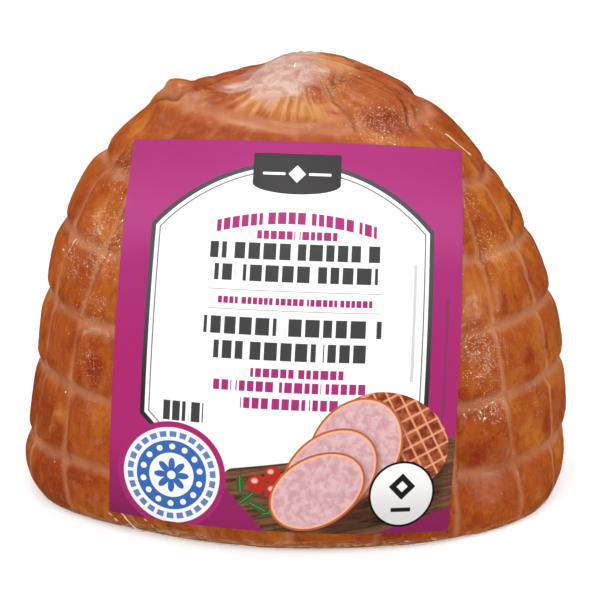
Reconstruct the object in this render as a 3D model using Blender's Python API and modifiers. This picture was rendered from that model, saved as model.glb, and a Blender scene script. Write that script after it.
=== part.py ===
"""A boneless smoked ham half, packed in a skin of clear film with a label on its front.

Metres, +Z up. The ham stands on its flat cut face, and the origin is in the middle of that face.
The front, with the label, looks along -Y. The film clings to the meat everywhere, so the ham and
its film are one solid here, and the label is a second one that lies over the film.
"""

import math

import bmesh
import bpy
from mathutils import Matrix, Vector

# Driving dimensions of the ham
WIDTH = 0.1130
DEPTH = 0.1080
HEIGHT = 0.0900
WIDEST_LEVEL = 0.0070
TOP_FULLNESS = 2.08
SIDE_FULLNESS = 2.42
CUT_EDGE_WIDTH = 0.0050
CUT_EDGE_ROUNDNESS = 0.93

# The gathered top stands a little above the dome
CROWN_RISE = 0.0014
CROWN_MIDDLE = (0.0020, 0.0017)
CROWN_REACH = 0.0107

# Marks that the elastic netting pressed into the meat, with each ring's distance from the cut edge
NET_LINES = 20
NET_TURN = math.radians(-2.4)
NET_RINGS = (0.0140, 0.0287, 0.0434, 0.0581, 0.0740, 0.0925)
RING_MARK_DEPTH = 0.0010
RING_MARK_WIDTH = 0.0019
LINE_MARK_DEPTH = 0.0007
LINE_MARK_WIDTH = 0.0014
CELL_BULGE = 0.0008
CELL_UNEVENNESS = 0.28
GATHER_REACH = 0.0280
LAST_CELL_OVERRUN = 0.0120

# How far the net wandered as it was pulled on, waves round the ham first
LINE_WANDER = math.radians(1.7)
LINE_RIPPLE = math.radians(1.3)
RING_WANDER = 0.0011
RING_RIPPLE = 0.0006

# Shares of the skin, from either end, over which the wander and the swells die out
HELD_AT_FOOT = 0.12
HELD_AT_GATHER = 0.25
HELD_AT_POLE = 0.12

# How finely the solid is divided
STEPS_PER_CELL = 5
ROWS_PER_BAND = 5
ROWS_AT_GATHER = 6
ROWS_AT_CUT_EDGE = 4
ROW_CROWDING = 0.11
PROFILE_SAMPLES = 720
GUIDE_ROWS = 80
GUIDE_STEPS = 180

# The label: its corners, across and up, in a plane that leans back by LABEL_TILT_BACK through the origin
LABEL_TILT_BACK = math.radians(16.0)
LABEL_TOP_LEFT = (-0.0343, 0.0698)
LABEL_TOP_RIGHT = (0.0331, 0.0676)
LABEL_FOOT_LEFT = (-0.0392, -0.0067)
LABEL_FOOT_RIGHT = (0.0300, -0.0103)
LABEL_SIDE_BOW = 0.0009
LABEL_FOOT_SAG = 0.0018
LABEL_THICKNESS = 0.0004
LABEL_GAP = 0.0003
LABEL_COLUMNS = 18
LABEL_ROWS = 20
CLEAR_OF_HAM = 0.12

SMOKED_MEAT = (0.40, 0.10, 0.022, 1.0)
LABEL_MAGENTA = (0.46, 0.032, 0.20, 1.0)


def clear_scene():
    for found in list(bpy.data.objects):
        bpy.data.objects.remove(found)


def new_collection(name):
    collection = bpy.data.collections.new(name)
    bpy.context.scene.collection.children.link(collection)
    return collection


def plain_material(name, colour, roughness):
    material = bpy.data.materials.new(name)
    material.use_nodes = True
    shader = material.node_tree.nodes["Principled BSDF"]
    shader.inputs["Base Color"].default_value = colour
    shader.inputs["Roughness"].default_value = roughness
    shader.inputs["Metallic"].default_value = 0.0
    return material


def smooth_step(low, high, value):
    share = min(1.0, max(0.0, (value - low) / (high - low)))
    return share * share * (3.0 - 2.0 * share)


def profile_point(turn):
    """(radius, height) of the round ham without relief. turn is 0 at its top and 2 at its cut edge."""
    radius = WIDTH / 2.0
    if turn <= 1.0:
        angle = turn * math.pi / 2.0
        rise = HEIGHT - WIDEST_LEVEL
        height = WIDEST_LEVEL + rise * max(0.0, math.cos(angle)) ** (2.0 / SIDE_FULLNESS)
        return radius * math.sin(angle) ** (2.0 / TOP_FULLNESS), height
    below = turn - 1.0
    inset = CUT_EDGE_WIDTH * (1.0 - math.sqrt(1.0 - (CUT_EDGE_ROUNDNESS * below) ** 2))
    return radius - inset, WIDEST_LEVEL * (1.0 - below)


def measured_profile():
    """The profile from the cut edge to the top, each point with its distance along the skin first."""
    points = []
    travelled = 0.0
    for index in range(PROFILE_SAMPLES + 1):
        turn = 2.0 * (1.0 - index / PROFILE_SAMPLES)
        radius, height = profile_point(turn)
        if points:
            travelled += math.hypot(radius - points[-1][1], height - points[-1][2])
        points.append((travelled, radius, height))
    return points


PROFILE = measured_profile()
SKIN_LENGTH = PROFILE[-1][0]


def profile_at(along):
    """(radius, height, outward normal) at a distance along the skin from the cut edge."""
    low, high = 0, len(PROFILE) - 1
    while high - low > 1:
        middle = (low + high) // 2
        if PROFILE[middle][0] <= along:
            low = middle
        else:
            high = middle
    start, end = PROFILE[low], PROFILE[high]
    share = (along - start[0]) / (end[0] - start[0])
    run, rise = end[1] - start[1], end[2] - start[2]
    length = math.hypot(run, rise)
    radius = start[1] + share * run
    height = start[2] + share * rise
    return radius, height, (rise / length, -run / length)


def skin_stations():
    """Distances along the skin of the solid's rows of points, closer together at each net ring."""
    stations = [NET_RINGS[0] * index / ROWS_AT_CUT_EDGE for index in range(ROWS_AT_CUT_EDGE)]
    places = [drawn_in(index / ROWS_PER_BAND) for index in range(ROWS_PER_BAND)]
    for low, high in zip(NET_RINGS, NET_RINGS[1:]):
        stations += [low + (high - low) * place for place in places]
    left = SKIN_LENGTH - NET_RINGS[-1]
    stations += [NET_RINGS[-1] + left * index / ROWS_AT_GATHER for index in range(ROWS_AT_GATHER + 1)]
    return stations


def drawn_in(share):
    """Moves a place inside a cell, from 0 to 1, towards the nearest net mark."""
    return share - ROW_CROWDING * math.sin(2.0 * math.pi * share)


def ring_place(along):
    """(cell number, place in the cell from 0 to 1, cell length) along the skin."""
    edges = (2.0 * NET_RINGS[0] - NET_RINGS[1], *NET_RINGS, SKIN_LENGTH + LAST_CELL_OVERRUN)
    for index, (low, high) in enumerate(zip(edges, edges[1:])):
        if along < high:
            return index, (along - low) / (high - low), high - low
    return len(edges) - 2, 1.0, edges[-1] - edges[-2]


def net_relief(angle, along, radius):
    """How far the skin stands out of the round form: cells swell and net marks sink."""
    cells = (angle - NET_TURN) * NET_LINES / (2.0 * math.pi)
    across = cells - math.floor(cells)
    ring, up, length = ring_place(along)
    cell_width = 2.0 * math.pi * radius / NET_LINES
    to_line = min(across, 1.0 - across) * cell_width
    to_ring = min(up, 1.0 - up) * length
    line_mark = LINE_MARK_DEPTH * math.exp(-((to_line / LINE_MARK_WIDTH) ** 2))
    ring_mark = RING_MARK_DEPTH * math.exp(-((to_ring / RING_MARK_WIDTH) ** 2))
    swell = math.sqrt(max(0.0, math.sin(math.pi * across) * math.sin(math.pi * min(1.0, max(0.0, up)))))
    fullness = 1.0 - CELL_UNEVENNESS * (1.0 - math.sin(2.3 * math.floor(cells) + 4.1 * ring))
    gathered = smooth_step(0.0, GATHER_REACH, SKIN_LENGTH - along)
    at_cut_edge = smooth_step(0.0, NET_RINGS[0], along)
    return gathered * at_cut_edge * (CELL_BULGE * swell * fullness - max(line_mark, ring_mark))


def drift(angle, share):
    """Sideways wander of a net line, so that no two cells are alike."""
    wander = math.sin(3.0 * angle + 5.0 * share)
    ripple = math.sin(7.0 * angle - 9.0 * share + 1.3)
    return LINE_WANDER * wander + LINE_RIPPLE * ripple


def rise_and_fall(angle, share):
    """How far a net ring wanders up the skin, as the elastic was never wound level."""
    wander = math.sin(2.0 * angle + 0.7 + 3.0 * share)
    ripple = math.sin(5.0 * angle + 6.0 * share)
    return RING_WANDER * wander + RING_RIPPLE * ripple


def lump(angle, share, at_angle, at_share, angle_reach, share_reach):
    turn = math.remainder(angle - at_angle, 2.0 * math.pi)
    return math.exp(-((turn / angle_reach) ** 2) - ((share - at_share) / share_reach) ** 2)


# Fullness of the meat itself: height, then place and reach, as an angle and a share of the skin
SWELLS = {
    "left_shoulder": (0.0019, -97.0, 0.53, 32.0, 0.17),
    "left_fold": (0.0052, -76.5, 0.777, 26.0, 0.047),
    "left_of_gather": (-0.0043, -95.0, 0.89, 46.0, 0.08),
    "before_gather": (-0.0022, 12.0, 0.861, 35.0, 0.05),
    "right_slope": (-0.0019, 100.0, 0.61, 34.0, 0.20),
    "left_foot": (0.0026, -70.0, 0.06, 26.0, 0.10),
    "front_left_foot": (-0.0012, -36.0, 0.02, 16.0, 0.08),
    "right_foot": (0.0028, 46.0, 0.01, 30.0, 0.06),
    "right_tuck": (-0.0009, 92.0, 0.05, 22.0, 0.05),
    "back_flat": (-0.0012, 172.0, 0.35, 40.0, 0.25),
    "gather_lobe": (0.0010, 46.0, 0.80, 17.0, 0.055),
}


def body_swell(angle, share):
    """How far the meat stands out of the turned form, as it is fuller on the left than on the right."""
    return sum(
        height * lump(angle, share, math.radians(at_angle), at_share, math.radians(reach), share_reach)
        for height, at_angle, at_share, reach, share_reach in SWELLS.values()
    )


def crown_rise(across, back):
    """How far the gathered top stands up above the dome, at a place seen from above."""
    away = math.hypot(across - CROWN_MIDDLE[0], back - CROWN_MIDDLE[1])
    return CROWN_RISE * math.exp(-((away / CROWN_REACH) ** 2))


def skin_point(angle, along, lift, with_net=True):
    """A point of the packed ham's skin. angle is 0 at the front and grows towards +X."""
    share = along / SKIN_LENGTH
    placed_angle = angle
    placed_along = along
    if with_net:
        loose = smooth_step(0.0, HELD_AT_FOOT, share) * smooth_step(0.0, HELD_AT_GATHER, 1.0 - share)
        placed_angle = angle + loose * drift(angle, share)
        placed_along = along + loose * rise_and_fall(angle, share)
    radius, height, normal = profile_at(placed_along)
    below_pole = smooth_step(0.0, HELD_AT_POLE, 1.0 - share)
    out = lift + body_swell(placed_angle, placed_along / SKIN_LENGTH) * below_pole
    if with_net:
        out += net_relief(angle, along, radius)
    radius += out * normal[0]
    if along > 0.0:
        height += out * normal[1]
    across = radius * math.sin(placed_angle)
    back = -radius * math.cos(placed_angle) * DEPTH / WIDTH
    return Vector((across, back, height + crown_rise(across, back)))


def turned_mesh(name, stations, steps):
    """A mesh turned from the profile at the stations by a Screw modifier, round and without relief."""
    outline = bmesh.new()
    rows = [profile_at(along)[:2] for along in reversed(stations)]
    corners = [outline.verts.new((radius, 0.0, height)) for radius, height in rows]
    corners[0].co.x = 0.0
    corners.append(outline.verts.new((0.0, 0.0, 0.0)))
    for upper, lower in zip(corners, corners[1:]):
        outline.edges.new((upper, lower))
    mesh = bpy.data.meshes.new(name + "_outline")
    outline.to_mesh(mesh)
    outline.free()
    source = bpy.data.objects.new(name + "_outline", mesh)
    bpy.context.scene.collection.objects.link(source)
    turning = source.modifiers.new("turn", "SCREW")
    turning.axis = "Z"
    turning.steps = steps
    turning.render_steps = steps
    turning.use_merge_vertices = True
    turning.merge_threshold = 0.00001
    evaluated = source.evaluated_get(bpy.context.evaluated_depsgraph_get())
    made = bpy.data.meshes.new_from_object(evaluated)
    made.name = name
    bpy.data.objects.remove(source)
    return made


def shape_skin(mesh, stations, lift, with_net):
    """Moves each point of the turned mesh to its place on the skin. The cut face stays flat."""
    heights = [(profile_at(along)[1], profile_at(along)[0], along) for along in stations]
    for vertex in mesh.vertices:
        radius = math.hypot(vertex.co.x, vertex.co.y)
        if radius < 1e-6 and vertex.co.z < HEIGHT / 2.0:
            continue
        nearest = min(heights, key=lambda row: abs(row[0] - vertex.co.z) + abs(row[1] - radius))
        cells = (math.atan2(vertex.co.x, -vertex.co.y) - NET_TURN) * NET_LINES / (2.0 * math.pi)
        number = math.floor(cells + 1e-6)
        angle = NET_TURN + (number + drawn_in(cells - number)) * 2.0 * math.pi / NET_LINES
        vertex.co = skin_point(angle, nearest[2], lift, with_net)


def packed_ham(collection):
    stations = skin_stations()
    mesh = turned_mesh("packed_ham", stations, NET_LINES * STEPS_PER_CELL)
    mesh.transform(Matrix.Rotation(NET_TURN, 4, "Z"))
    shape_skin(mesh, stations, 0.0, True)
    mesh.shade_smooth()
    mesh.set_sharp_from_angle(angle=math.radians(50.0))
    mesh.materials.clear()
    mesh.materials.append(plain_material("smoked_meat_in_film", SMOKED_MEAT, 0.3))
    ham = bpy.data.objects.new("packed_ham", mesh)
    collection.objects.link(ham)
    return ham


def label_guide(collection):
    """The smooth form just outside the cells, which the label lies on."""
    stations = [SKIN_LENGTH * index / GUIDE_ROWS for index in range(GUIDE_ROWS + 1)]
    mesh = turned_mesh("label_guide", stations, GUIDE_STEPS)
    shape_skin(mesh, stations, CELL_BULGE + LABEL_GAP, False)
    guide = bpy.data.objects.new("label_guide", mesh)
    guide.hide_render = True
    guide.display_type = "WIRE"
    collection.objects.link(guide)
    return guide


def label_place(across, up):
    """Where a place of the label, each way from -1 to 1, lies in the leaning plane."""
    right, high = (1.0 + across) / 2.0, (1.0 + up) / 2.0
    foot = Vector(LABEL_FOOT_LEFT).lerp(Vector(LABEL_FOOT_RIGHT), right)
    top = Vector(LABEL_TOP_LEFT).lerp(Vector(LABEL_TOP_RIGHT), right)
    bow = LABEL_SIDE_BOW * across * (1.0 - up * up)
    sag = LABEL_FOOT_SAG * (1.0 - across * across) * (1.0 - high)
    return foot.lerp(top, high) + Vector((bow, -sag))


def label(collection, guide):
    """A flat sheet laid on the front of the ham by a Shrinkwrap, then given its thickness."""
    sheet = bmesh.new()
    bmesh.ops.create_grid(sheet, x_segments=LABEL_COLUMNS, y_segments=LABEL_ROWS, size=1.0)
    for corner in sheet.verts:
        corner.co.xy = label_place(corner.co.x, corner.co.y)
    mesh = bpy.data.meshes.new("label")
    sheet.to_mesh(mesh)
    sheet.free()
    mesh.materials.append(plain_material("magenta_label", LABEL_MAGENTA, 0.35))
    made = bpy.data.objects.new("label", mesh)
    leant_back = Matrix.Rotation(math.pi / 2.0 - LABEL_TILT_BACK, 4, "X")
    made.matrix_world = leant_back @ Matrix.Translation((0.0, 0.0, CLEAR_OF_HAM))
    collection.objects.link(made)
    wrap = made.modifiers.new("lay_on_ham", "SHRINKWRAP")
    wrap.target = guide
    wrap.wrap_method = "PROJECT"
    wrap.use_project_z = True
    wrap.use_negative_direction = True
    wrap.use_positive_direction = False
    thicken = made.modifiers.new("paper", "SOLIDIFY")
    thicken.thickness = LABEL_THICKNESS
    thicken.offset = 1.0
    thicken.use_even_offset = True
    return made


def main():
    clear_scene()
    parts = new_collection("smoked_ham")
    guides = new_collection("guides")
    packed_ham(parts)
    label(parts, label_guide(guides))


main()
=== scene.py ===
"""Looks of a boneless smoked ham half that is packed in clear film, with a printed label on its front.

The file is laid out as a Blender add-on and is run as a script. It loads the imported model, replaces its
two solids by the meat, the film over it and the label, and sets up a camera, a floor and soft lights.
Metres, +Z up. The ham stands on its cut face, and angles round it are 0 at the front and grow towards +X.
"""

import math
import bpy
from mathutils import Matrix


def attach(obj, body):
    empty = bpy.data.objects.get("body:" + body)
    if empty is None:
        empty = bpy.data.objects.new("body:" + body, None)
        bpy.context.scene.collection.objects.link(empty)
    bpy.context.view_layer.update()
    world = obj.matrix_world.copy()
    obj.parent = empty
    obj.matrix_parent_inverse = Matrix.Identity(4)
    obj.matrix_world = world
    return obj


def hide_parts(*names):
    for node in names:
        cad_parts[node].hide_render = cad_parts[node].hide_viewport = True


bl_info = {
    "name": "Smoked Ham",
    "version": (1, 0, 0),
    "blender": (4, 5, 0),
    "location": "3D View > Sidebar > Smoked Ham",
    "description": "Models a smoked ham in clear film with a printed label",
    "category": "Add Mesh",
}

import bpy
from bpy.props import FloatProperty, FloatVectorProperty, PointerProperty
from mathutils import Matrix, Vector, noise

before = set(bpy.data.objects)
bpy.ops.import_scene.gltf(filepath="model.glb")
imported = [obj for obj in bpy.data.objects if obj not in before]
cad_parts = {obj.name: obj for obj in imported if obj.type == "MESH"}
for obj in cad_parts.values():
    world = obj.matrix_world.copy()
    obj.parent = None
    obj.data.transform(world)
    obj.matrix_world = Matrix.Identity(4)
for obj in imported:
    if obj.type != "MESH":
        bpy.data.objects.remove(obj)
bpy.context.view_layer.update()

# The round form of the ham
WIDTH = 0.1130
DEPTH = 0.1080
HEIGHT = 0.0900
WIDEST_LEVEL = 0.0070
TOP_FULLNESS = 2.08
SIDE_FULLNESS = 2.42
CUT_EDGE_WIDTH = 0.0050
CUT_EDGE_ROUNDNESS = 0.93
PROFILE_SAMPLES = 720

# The gathered top stands a little above the dome
CROWN_RISE = 0.0014
CROWN_MIDDLE = (0.0020, 0.0017)
CROWN_REACH = 0.0107

# The pattern of the elastic net, with each ring's distance from the cut edge along the skin
NET_LINES = 20
NET_TURN = math.radians(-2.4)
NET_RINGS = (0.0140, 0.0287, 0.0434, 0.0581, 0.0740, 0.0925)
GATHER_REACH = 0.0280
LAST_CELL_OVERRUN = 0.0120
LINE_WANDER = math.radians(1.7)
LINE_RIPPLE = math.radians(1.3)
RING_WANDER = 0.0011
RING_RIPPLE = 0.0006
HELD_AT_FOOT = 0.12
HELD_AT_GATHER = 0.25
HELD_AT_POLE = 0.12

# How finely the meat and the film are divided
STEPS_PER_CELL = 22
SKIN_ROWS = 200
CUT_FACE_ROWS = 14
COLUMN_CROWDING = 0.09
GUIDE_ROWS = 120
GUIDE_STEPS = 180

# Fullness of the meat itself: height, then place and reach, as an angle and a share of the skin
SWELLS = {
    "left_shoulder": (0.0019, -97.0, 0.53, 32.0, 0.17),
    "left_fold": (0.0052, -76.5, 0.777, 26.0, 0.047),
    "left_of_gather": (-0.0043, -95.0, 0.89, 46.0, 0.08),
    "before_gather": (-0.0022, 12.0, 0.861, 35.0, 0.05),
    "right_slope": (-0.0019, 100.0, 0.61, 34.0, 0.20),
    "left_foot": (0.0026, -70.0, 0.06, 26.0, 0.10),
    "front_left_foot": (-0.0012, -36.0, 0.02, 16.0, 0.08),
    "right_foot": (0.0028, 46.0, 0.01, 30.0, 0.06),
    "right_tuck": (-0.0009, 92.0, 0.05, 22.0, 0.05),
    "back_flat": (-0.0012, 172.0, 0.35, 40.0, 0.25),
    "gather_lobe": (0.0010, 46.0, 0.80, 17.0, 0.055),
}

# Folds in the meat: depth and half width, then points as an angle and a distance along the skin in mm
FOLDS = {
    "left_lobe": (
        0.00096, 0.00070,
        (
            (-88, 84.0), (-83, 88.5), (-76, 91.0), (-66, 92.5), (-63, 96.5), (-80, 99.0), (-98, 99.5),
            (-116, 99.8), (-130, 103.0),
        ),
    ),
    "lobe_foot": (0.00045, 0.00080, ((-53, 88.9), (-51, 90.8), (-47, 91.8), (-42, 91.8))),
    "left_of_crown": (0.00060, 0.00075, ((-47, 96.6), (-53, 100.5), (-60, 103.5), (-68, 105.0))),
    "right_lobe": (
        0.00075, 0.00090,
        ((66, 110.0), (39, 109.2), (27, 106.3), (24, 102.4), (24, 97.6), (25, 91.0)),
    ),
    "outer_fold": (
        0.00098, 0.00085,
        ((86, 108.5), (78, 105.5), (77, 102.0), (68, 97.6), (59, 93.7), (51, 88.5)),
    ),
    "second_fold": (
        0.00075, 0.00080,
        ((109, 110.0), (97, 107.2), (83, 103.0), (75, 98.5), (69, 94.7), (62, 90.8), (60, 86.5)),
    ),
    "outer_pocket": (0.00060, 0.00110, ((92, 99.5), (89, 97.3), (95, 94.9), (101, 92.6))),
    "right_corner": (0.00085, 0.00100, ((104, 65.4), (92, 64.4), (80, 63.2), (71, 60.5))),
    "right_curve": (0.00040, 0.00080, ((64, 55.0), (66, 51.0), (71, 48.6), (79, 49.6))),
    "back_left_fold": (0.00110, 0.00120, ((-172, 108.0), (-160, 101.0), (-162, 94.0), (-150, 86.0))),
    "back_right_fold": (0.00090, 0.00110, ((176, 105.0), (160, 99.0), (150, 92.0), (152, 84.0))),
    "back_side_fold": (0.00080, 0.00100, ((130, 106.0), (122, 99.0), (126, 91.0), (118, 83.0))),
    "back_fold": (0.00070, 0.00100, ((-178, 97.0), (-176, 90.0), (176, 83.0))),
    "left_flap_high": (0.00050, 0.00055, ((-73, 78.5), (-72, 74.0), (-68, 68.0))),
    "left_flap_middle": (
        0.00060, 0.00055,
        ((-80, 56.8), (-75, 54.1), (-72.5, 50.0), (-72, 46.0), (-74, 41.5)),
    ),
    "left_flap_low": (0.00050, 0.00055, ((-77, 40.6), (-79, 36.7), (-74, 29.5))),
    "left_flap_foot": (0.00045, 0.00055, ((-79, 26.1), (-80, 22.2), (-75, 18.4), (-71, 14.5))),
    "right_flap_low": (0.00045, 0.00055, ((66, 31.5), (70, 27.5), (75, 23.0), (74, 17.5))),
    "right_flap_high": (0.00040, 0.00055, ((58, 47.3), (63, 43.0), (67, 38.0), (70, 33.8))),
}

# Farther from a fold than this, nothing of it is left
FOLD_REACH = 0.0035

# Hollows in the meat: depth and reach, then place as an angle and a distance along the skin in mm
PITS = {
    "right_pit": (0.00055, 0.0016, 42.0, 35.7),
    "left_pit": (0.00040, 0.0013, -57.0, 27.0),
    "gather_pit": (0.00045, 0.0014, 15.0, 92.7),
    "back_pit": (0.00050, 0.0016, 158.0, 47.0),
    "side_pit": (0.00045, 0.0015, -118.0, 38.0),
}

# Pleats of the film at the foot: height and half width, then points as for the folds
PLEATS = {
    "left_foot_first": (0.00055, 0.00035, ((-44.5, 5.2), (-43, 3.9), (-41, 0.0))),
    "left_foot_second": (0.00060, 0.00035, ((-41.5, 6.0), (-40, 4.8), (-38, 0.0))),
    "left_foot_third": (0.00050, 0.00035, ((-35, 5.4), (-34, 4.0), (-31, 0.6))),
    "right_foot_long": (0.00045, 0.00040, ((19, 2.2), (23, 3.4), (27, 3.6), (31, 2.4))),
    "right_foot_short": (0.00040, 0.00035, ((21, 1.0), (25, 1.9), (29, 1.3))),
    "left_side": (0.00045, 0.00045, ((-104, 7.0), (-101, 3.0), (-99, 0.0))),
    "right_side": (0.00045, 0.00045, ((86, 8.0), (84, 4.0), (85, 0.0))),
    "back_left": (0.00050, 0.00045, ((-152, 9.0), (-149, 4.0), (-150, 0.0))),
    "back_right": (0.00050, 0.00045, ((139, 8.0), (142, 4.0), (141, 0.0))),
    "gather_streak": (0.00055, 0.00045, ((64.5, 84.6), (67, 82.6), (69, 80.6), (71.5, 78.4))),
    "left_edge_streak": (0.00050, 0.00045, ((-70, 58.5), (-71, 56.0), (-70, 53.5))),
}

# Patches of colour on the meat: strength and reach in m, then place as an angle and a distance in mm
YELLOW_PATCHES = {
    "top_right": (1.00, 0.0060, 68.0, 115.0),
    "top_far_right": (0.80, 0.0040, 98.0, 111.5),
    "below_crown_left": (0.85, 0.0062, -27.0, 99.5),
    "below_crown": (1.00, 0.0066, -8.0, 99.5),
    "below_crown_right": (0.95, 0.0056, 9.0, 98.0),
    "left_low": (0.55, 0.0035, -62.0, 22.2),
    "right_middle": (0.55, 0.0050, 57.0, 56.0),
    "right_lower": (0.40, 0.0035, 60.0, 25.0),
    "back_left": (0.60, 0.0060, -140.0, 70.0),
    "back_right": (0.50, 0.0055, 150.0, 58.0),
    "side_left": (0.40, 0.0045, -100.0, 44.0),
}
PALE_PATCHES = {
    "crown_right": (0.80, 0.0035, 62.0, 111.0),
    "beside_lobe": (0.80, 0.0032, 18.0, 99.5),
    "below_lobe": (0.80, 0.0034, 17.0, 94.7),
    "lobe_foot": (0.60, 0.0030, 25.0, 92.0),
    "left_lobe": (0.70, 0.0030, -72.0, 95.6),
    "left_of_crown": (0.65, 0.0034, -52.0, 94.7),
    "right_joint": (0.60, 0.0026, 67.0, 71.5),
    "back_joint": (0.55, 0.0034, 176.0, 91.0),
    "back_right_joint": (0.45, 0.0032, 140.0, 73.0),
}
RED_PATCHES = {
    "gather_right": (1.00, 0.0055, 41.0, 91.5),
    "left_middle": (0.95, 0.0032, -50.0, 34.5),
    "right_foot": (0.65, 0.0045, 40.0, 18.0),
    "right_low": (0.60, 0.0035, 59.0, 34.8),
    "right_edge": (0.60, 0.0035, 66.0, 19.3),
    # The outer pocket patches, above strength 1, also lay the painted shade of the pocket in the meat
    # material
    "outer_pocket": (1.60, 0.0028, 89.0, 97.3),
    "outer_pocket_end": (1.50, 0.0023, 95.0, 95.0),
    "left_high": (0.45, 0.0040, -62.0, 88.0),
    "back_high": (0.60, 0.0045, -160.0, 50.0),
    "back_low": (0.60, 0.0045, 165.0, 30.0),
    "side_right": (0.55, 0.0040, 110.0, 30.0),
    "side_left": (0.55, 0.0040, -120.0, 64.0),
}

# Patches of painted glints on the film, small white dots that stand in for glints: strength and reach in m,
# then place as for the colours
PAINTED_GLINT_PATCHES = {
    "gather_right": (1.00, 0.0060, 33.0, 91.0),
    "gather_far_right": (0.75, 0.0045, 49.0, 92.0),
    "gather_joint": (0.60, 0.0035, 64.0, 88.0),
    "left_shoulder": (1.00, 0.0085, -57.0, 60.0),
    "left_high": (0.80, 0.0070, -64.0, 76.0),
    "left_edge": (0.75, 0.0045, -68.0, 53.0),
    "left_middle": (0.70, 0.0060, -54.0, 46.0),
    "left_low": (0.55, 0.0050, -52.0, 34.0),
    "right_middle": (1.00, 0.0065, 43.0, 39.0),
    "right_high": (0.65, 0.0060, 55.0, 59.0),
    "right_higher": (0.60, 0.0050, 52.0, 70.0),
    "right_low": (0.75, 0.0055, 45.0, 28.0),
    "right_edge": (0.45, 0.0050, 62.0, 26.0),
    "crown_front": (0.95, 0.0060, -8.0, 105.0),
    "crown_left": (0.85, 0.0050, -60.0, 108.0),
    "left_of_crown": (0.95, 0.0026, -59.0, 95.6),
    "crown_right": (0.85, 0.0040, 30.0, 107.0),
    "side_left": (0.90, 0.0080, -112.0, 56.0),
    "side_left_low": (0.65, 0.0060, -98.0, 30.0),
    "side_right": (0.90, 0.0080, 118.0, 50.0),
    "side_right_low": (0.65, 0.0060, 100.0, 26.0),
    "back_high": (0.95, 0.0085, 170.0, 80.0),
    "back_low": (0.80, 0.0080, -156.0, 42.0),
    "back_foot": (0.65, 0.0060, 146.0, 22.0),
}

# The label: its corners, across and up, in a plane that leans back through the origin
LABEL_TILT_BACK = math.radians(16.0)
LABEL_TOP_LEFT = (-0.0343, 0.0698)
LABEL_TOP_RIGHT = (0.0331, 0.0676)
LABEL_FOOT_LEFT = (-0.0392, -0.0067)
LABEL_FOOT_RIGHT = (0.0300, -0.0103)
LABEL_SIDE_BOW = 0.0009
LABEL_FOOT_SAG = 0.0018
LABEL_HALF_WIDTH_MM = 34.5
LABEL_HALF_HEIGHT_MM = 39.0
LABEL_COLUMNS = 140
LABEL_ROWS = 156
CLEAR_OF_HAM = 0.12
PAPER_EDGE_ANGLE = math.radians(40.0)

# Small lights that make the film glint: azimuth from the front towards +X, and elevation
SMALL_LIGHTS = (
    ("glint_light_left", -110.0, 15.0),
    ("glint_light_right", 84.0, 6.0),
    ("glint_light_top", 125.0, 60.0),
    ("glint_light_back", -168.0, 48.0),
    ("glint_light_front", 20.0, 52.0),
)
SMALL_LIGHT_DISTANCE = 1.8
SMALL_LIGHT_SIZE = 0.06
KEY_LIGHT_PLACE = (-0.24, -0.76, 1.30)
KEY_LIGHT_SIZE = 0.75
HAM_MIDDLE = Vector((0.0, 0.0, 0.045))

# The floor lies a little below the ham's foot, so that no two faces share a level
FLOOR_SIZE = 9.0
FLOOR_LEVEL = -0.0002

# The photograph's camera
CAMERA_ELEVATION = math.radians(15.8)
CAMERA_DISTANCE = 1.0
PIXELS_PER_METRE = 4670.0
PICTURE_WIDTH = 600.0
SENSOR_WIDTH = 36.0
AIM_UP_PIXELS = 171.8
AIM_LEFT_PIXELS = 0.4
FARTHEST_SEEN = 20.0

# Marks of the net: how far they reach on the skin, and where they fade out
RING_REACH = 0.00155
TOP_RING_REACH = 0.0024
TOP_RING_FROM = 0.084
FIRST_RING_FROM = 0.012
LINE_REACH = 0.00108
LINES_FADE = (0.022, 0.046)
DARK_SIDE_PLACE = 0.00120
DARK_SIDE_REACH = 0.00036
DARK_SIDE_DEPTH = 0.00017
GROOVE_ABOVE = 0.0013
GROOVE_BELOW = 0.0024
LINE_GROOVE = 0.0011
NARROW_CELL = (0.0015, 0.0035)
FULLNESS_SPREAD = 0.28

# Ridges of the gathered top: scale round it and down it, shift, softness, sharpness and weight
GATHER_RIDGES = (
    (3.1, 9.0, 0.0, 0.006, 2.4, 0.8),
    (8.0, 22.0, 4.0, 0.012, 2.2, 0.2),
)
GATHER_LEVELS = (0.60, 0.80)
POLE_REACH = 0.012
FURROW_LEVEL = 0.72
SMOOTH_LOBES = ((46.0, 97.0, 0.011), (-78.0, 93.0, 0.012))
LOBE_SMOOTHING = 0.8

# A patch is left out beyond this many of its reaches
PATCH_ENDS = 2.2

# The pale zone of the crown, seen from above
PALE_CROWN_MIDDLE = (-0.0058, -0.0042)
PALE_CROWN_RADII = (0.0113, 0.0122)
PALE_CROWN_EDGE = (0.62, 1.25)
CROWN_WANDER = 0.40
CROWN_EDGE_SCALE = 190.0
CROWN_EDGE_SHIFT = Vector((1.7, 9.2, 0.0))

# Uneven lumps of the meat
LUMP_SCALE = 120.0
FINE_LUMP_SCALE = 420.0
FINE_LUMP_SHIFT = Vector((3.1, 0.7, 5.2))
FINE_LUMP_SHARE = 0.28

# How much of each form of the meat the film follows where it bridges hollows
BRIDGED_MARK = 0.62
BRIDGED_LUMPS = 0.6
BRIDGED_RIDGES = 0.8
BRIDGED_FOLD = 0.7
BRIDGED_PIT = 0.5

# Meat and film lie at a level of their own under the label
LABEL_MARGIN = 0.0030
MEAT_UNDER_LABEL = 0.00042
FILM_UNDER_LABEL = 0.00062

# The cut face, and what counts in full for the materials
CUT_FACE_LIFT = 0.00030
CUT_GRAIN_SCALE = 160.0
CUT_GRAIN_HEIGHT = 0.00012
CUT_FACE_FROM = (0.985, 0.93)
FOLD_FULL = 0.0008
PLEAT_FULL = 0.0005
FOOT_HAZE_FROM = 0.006

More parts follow.
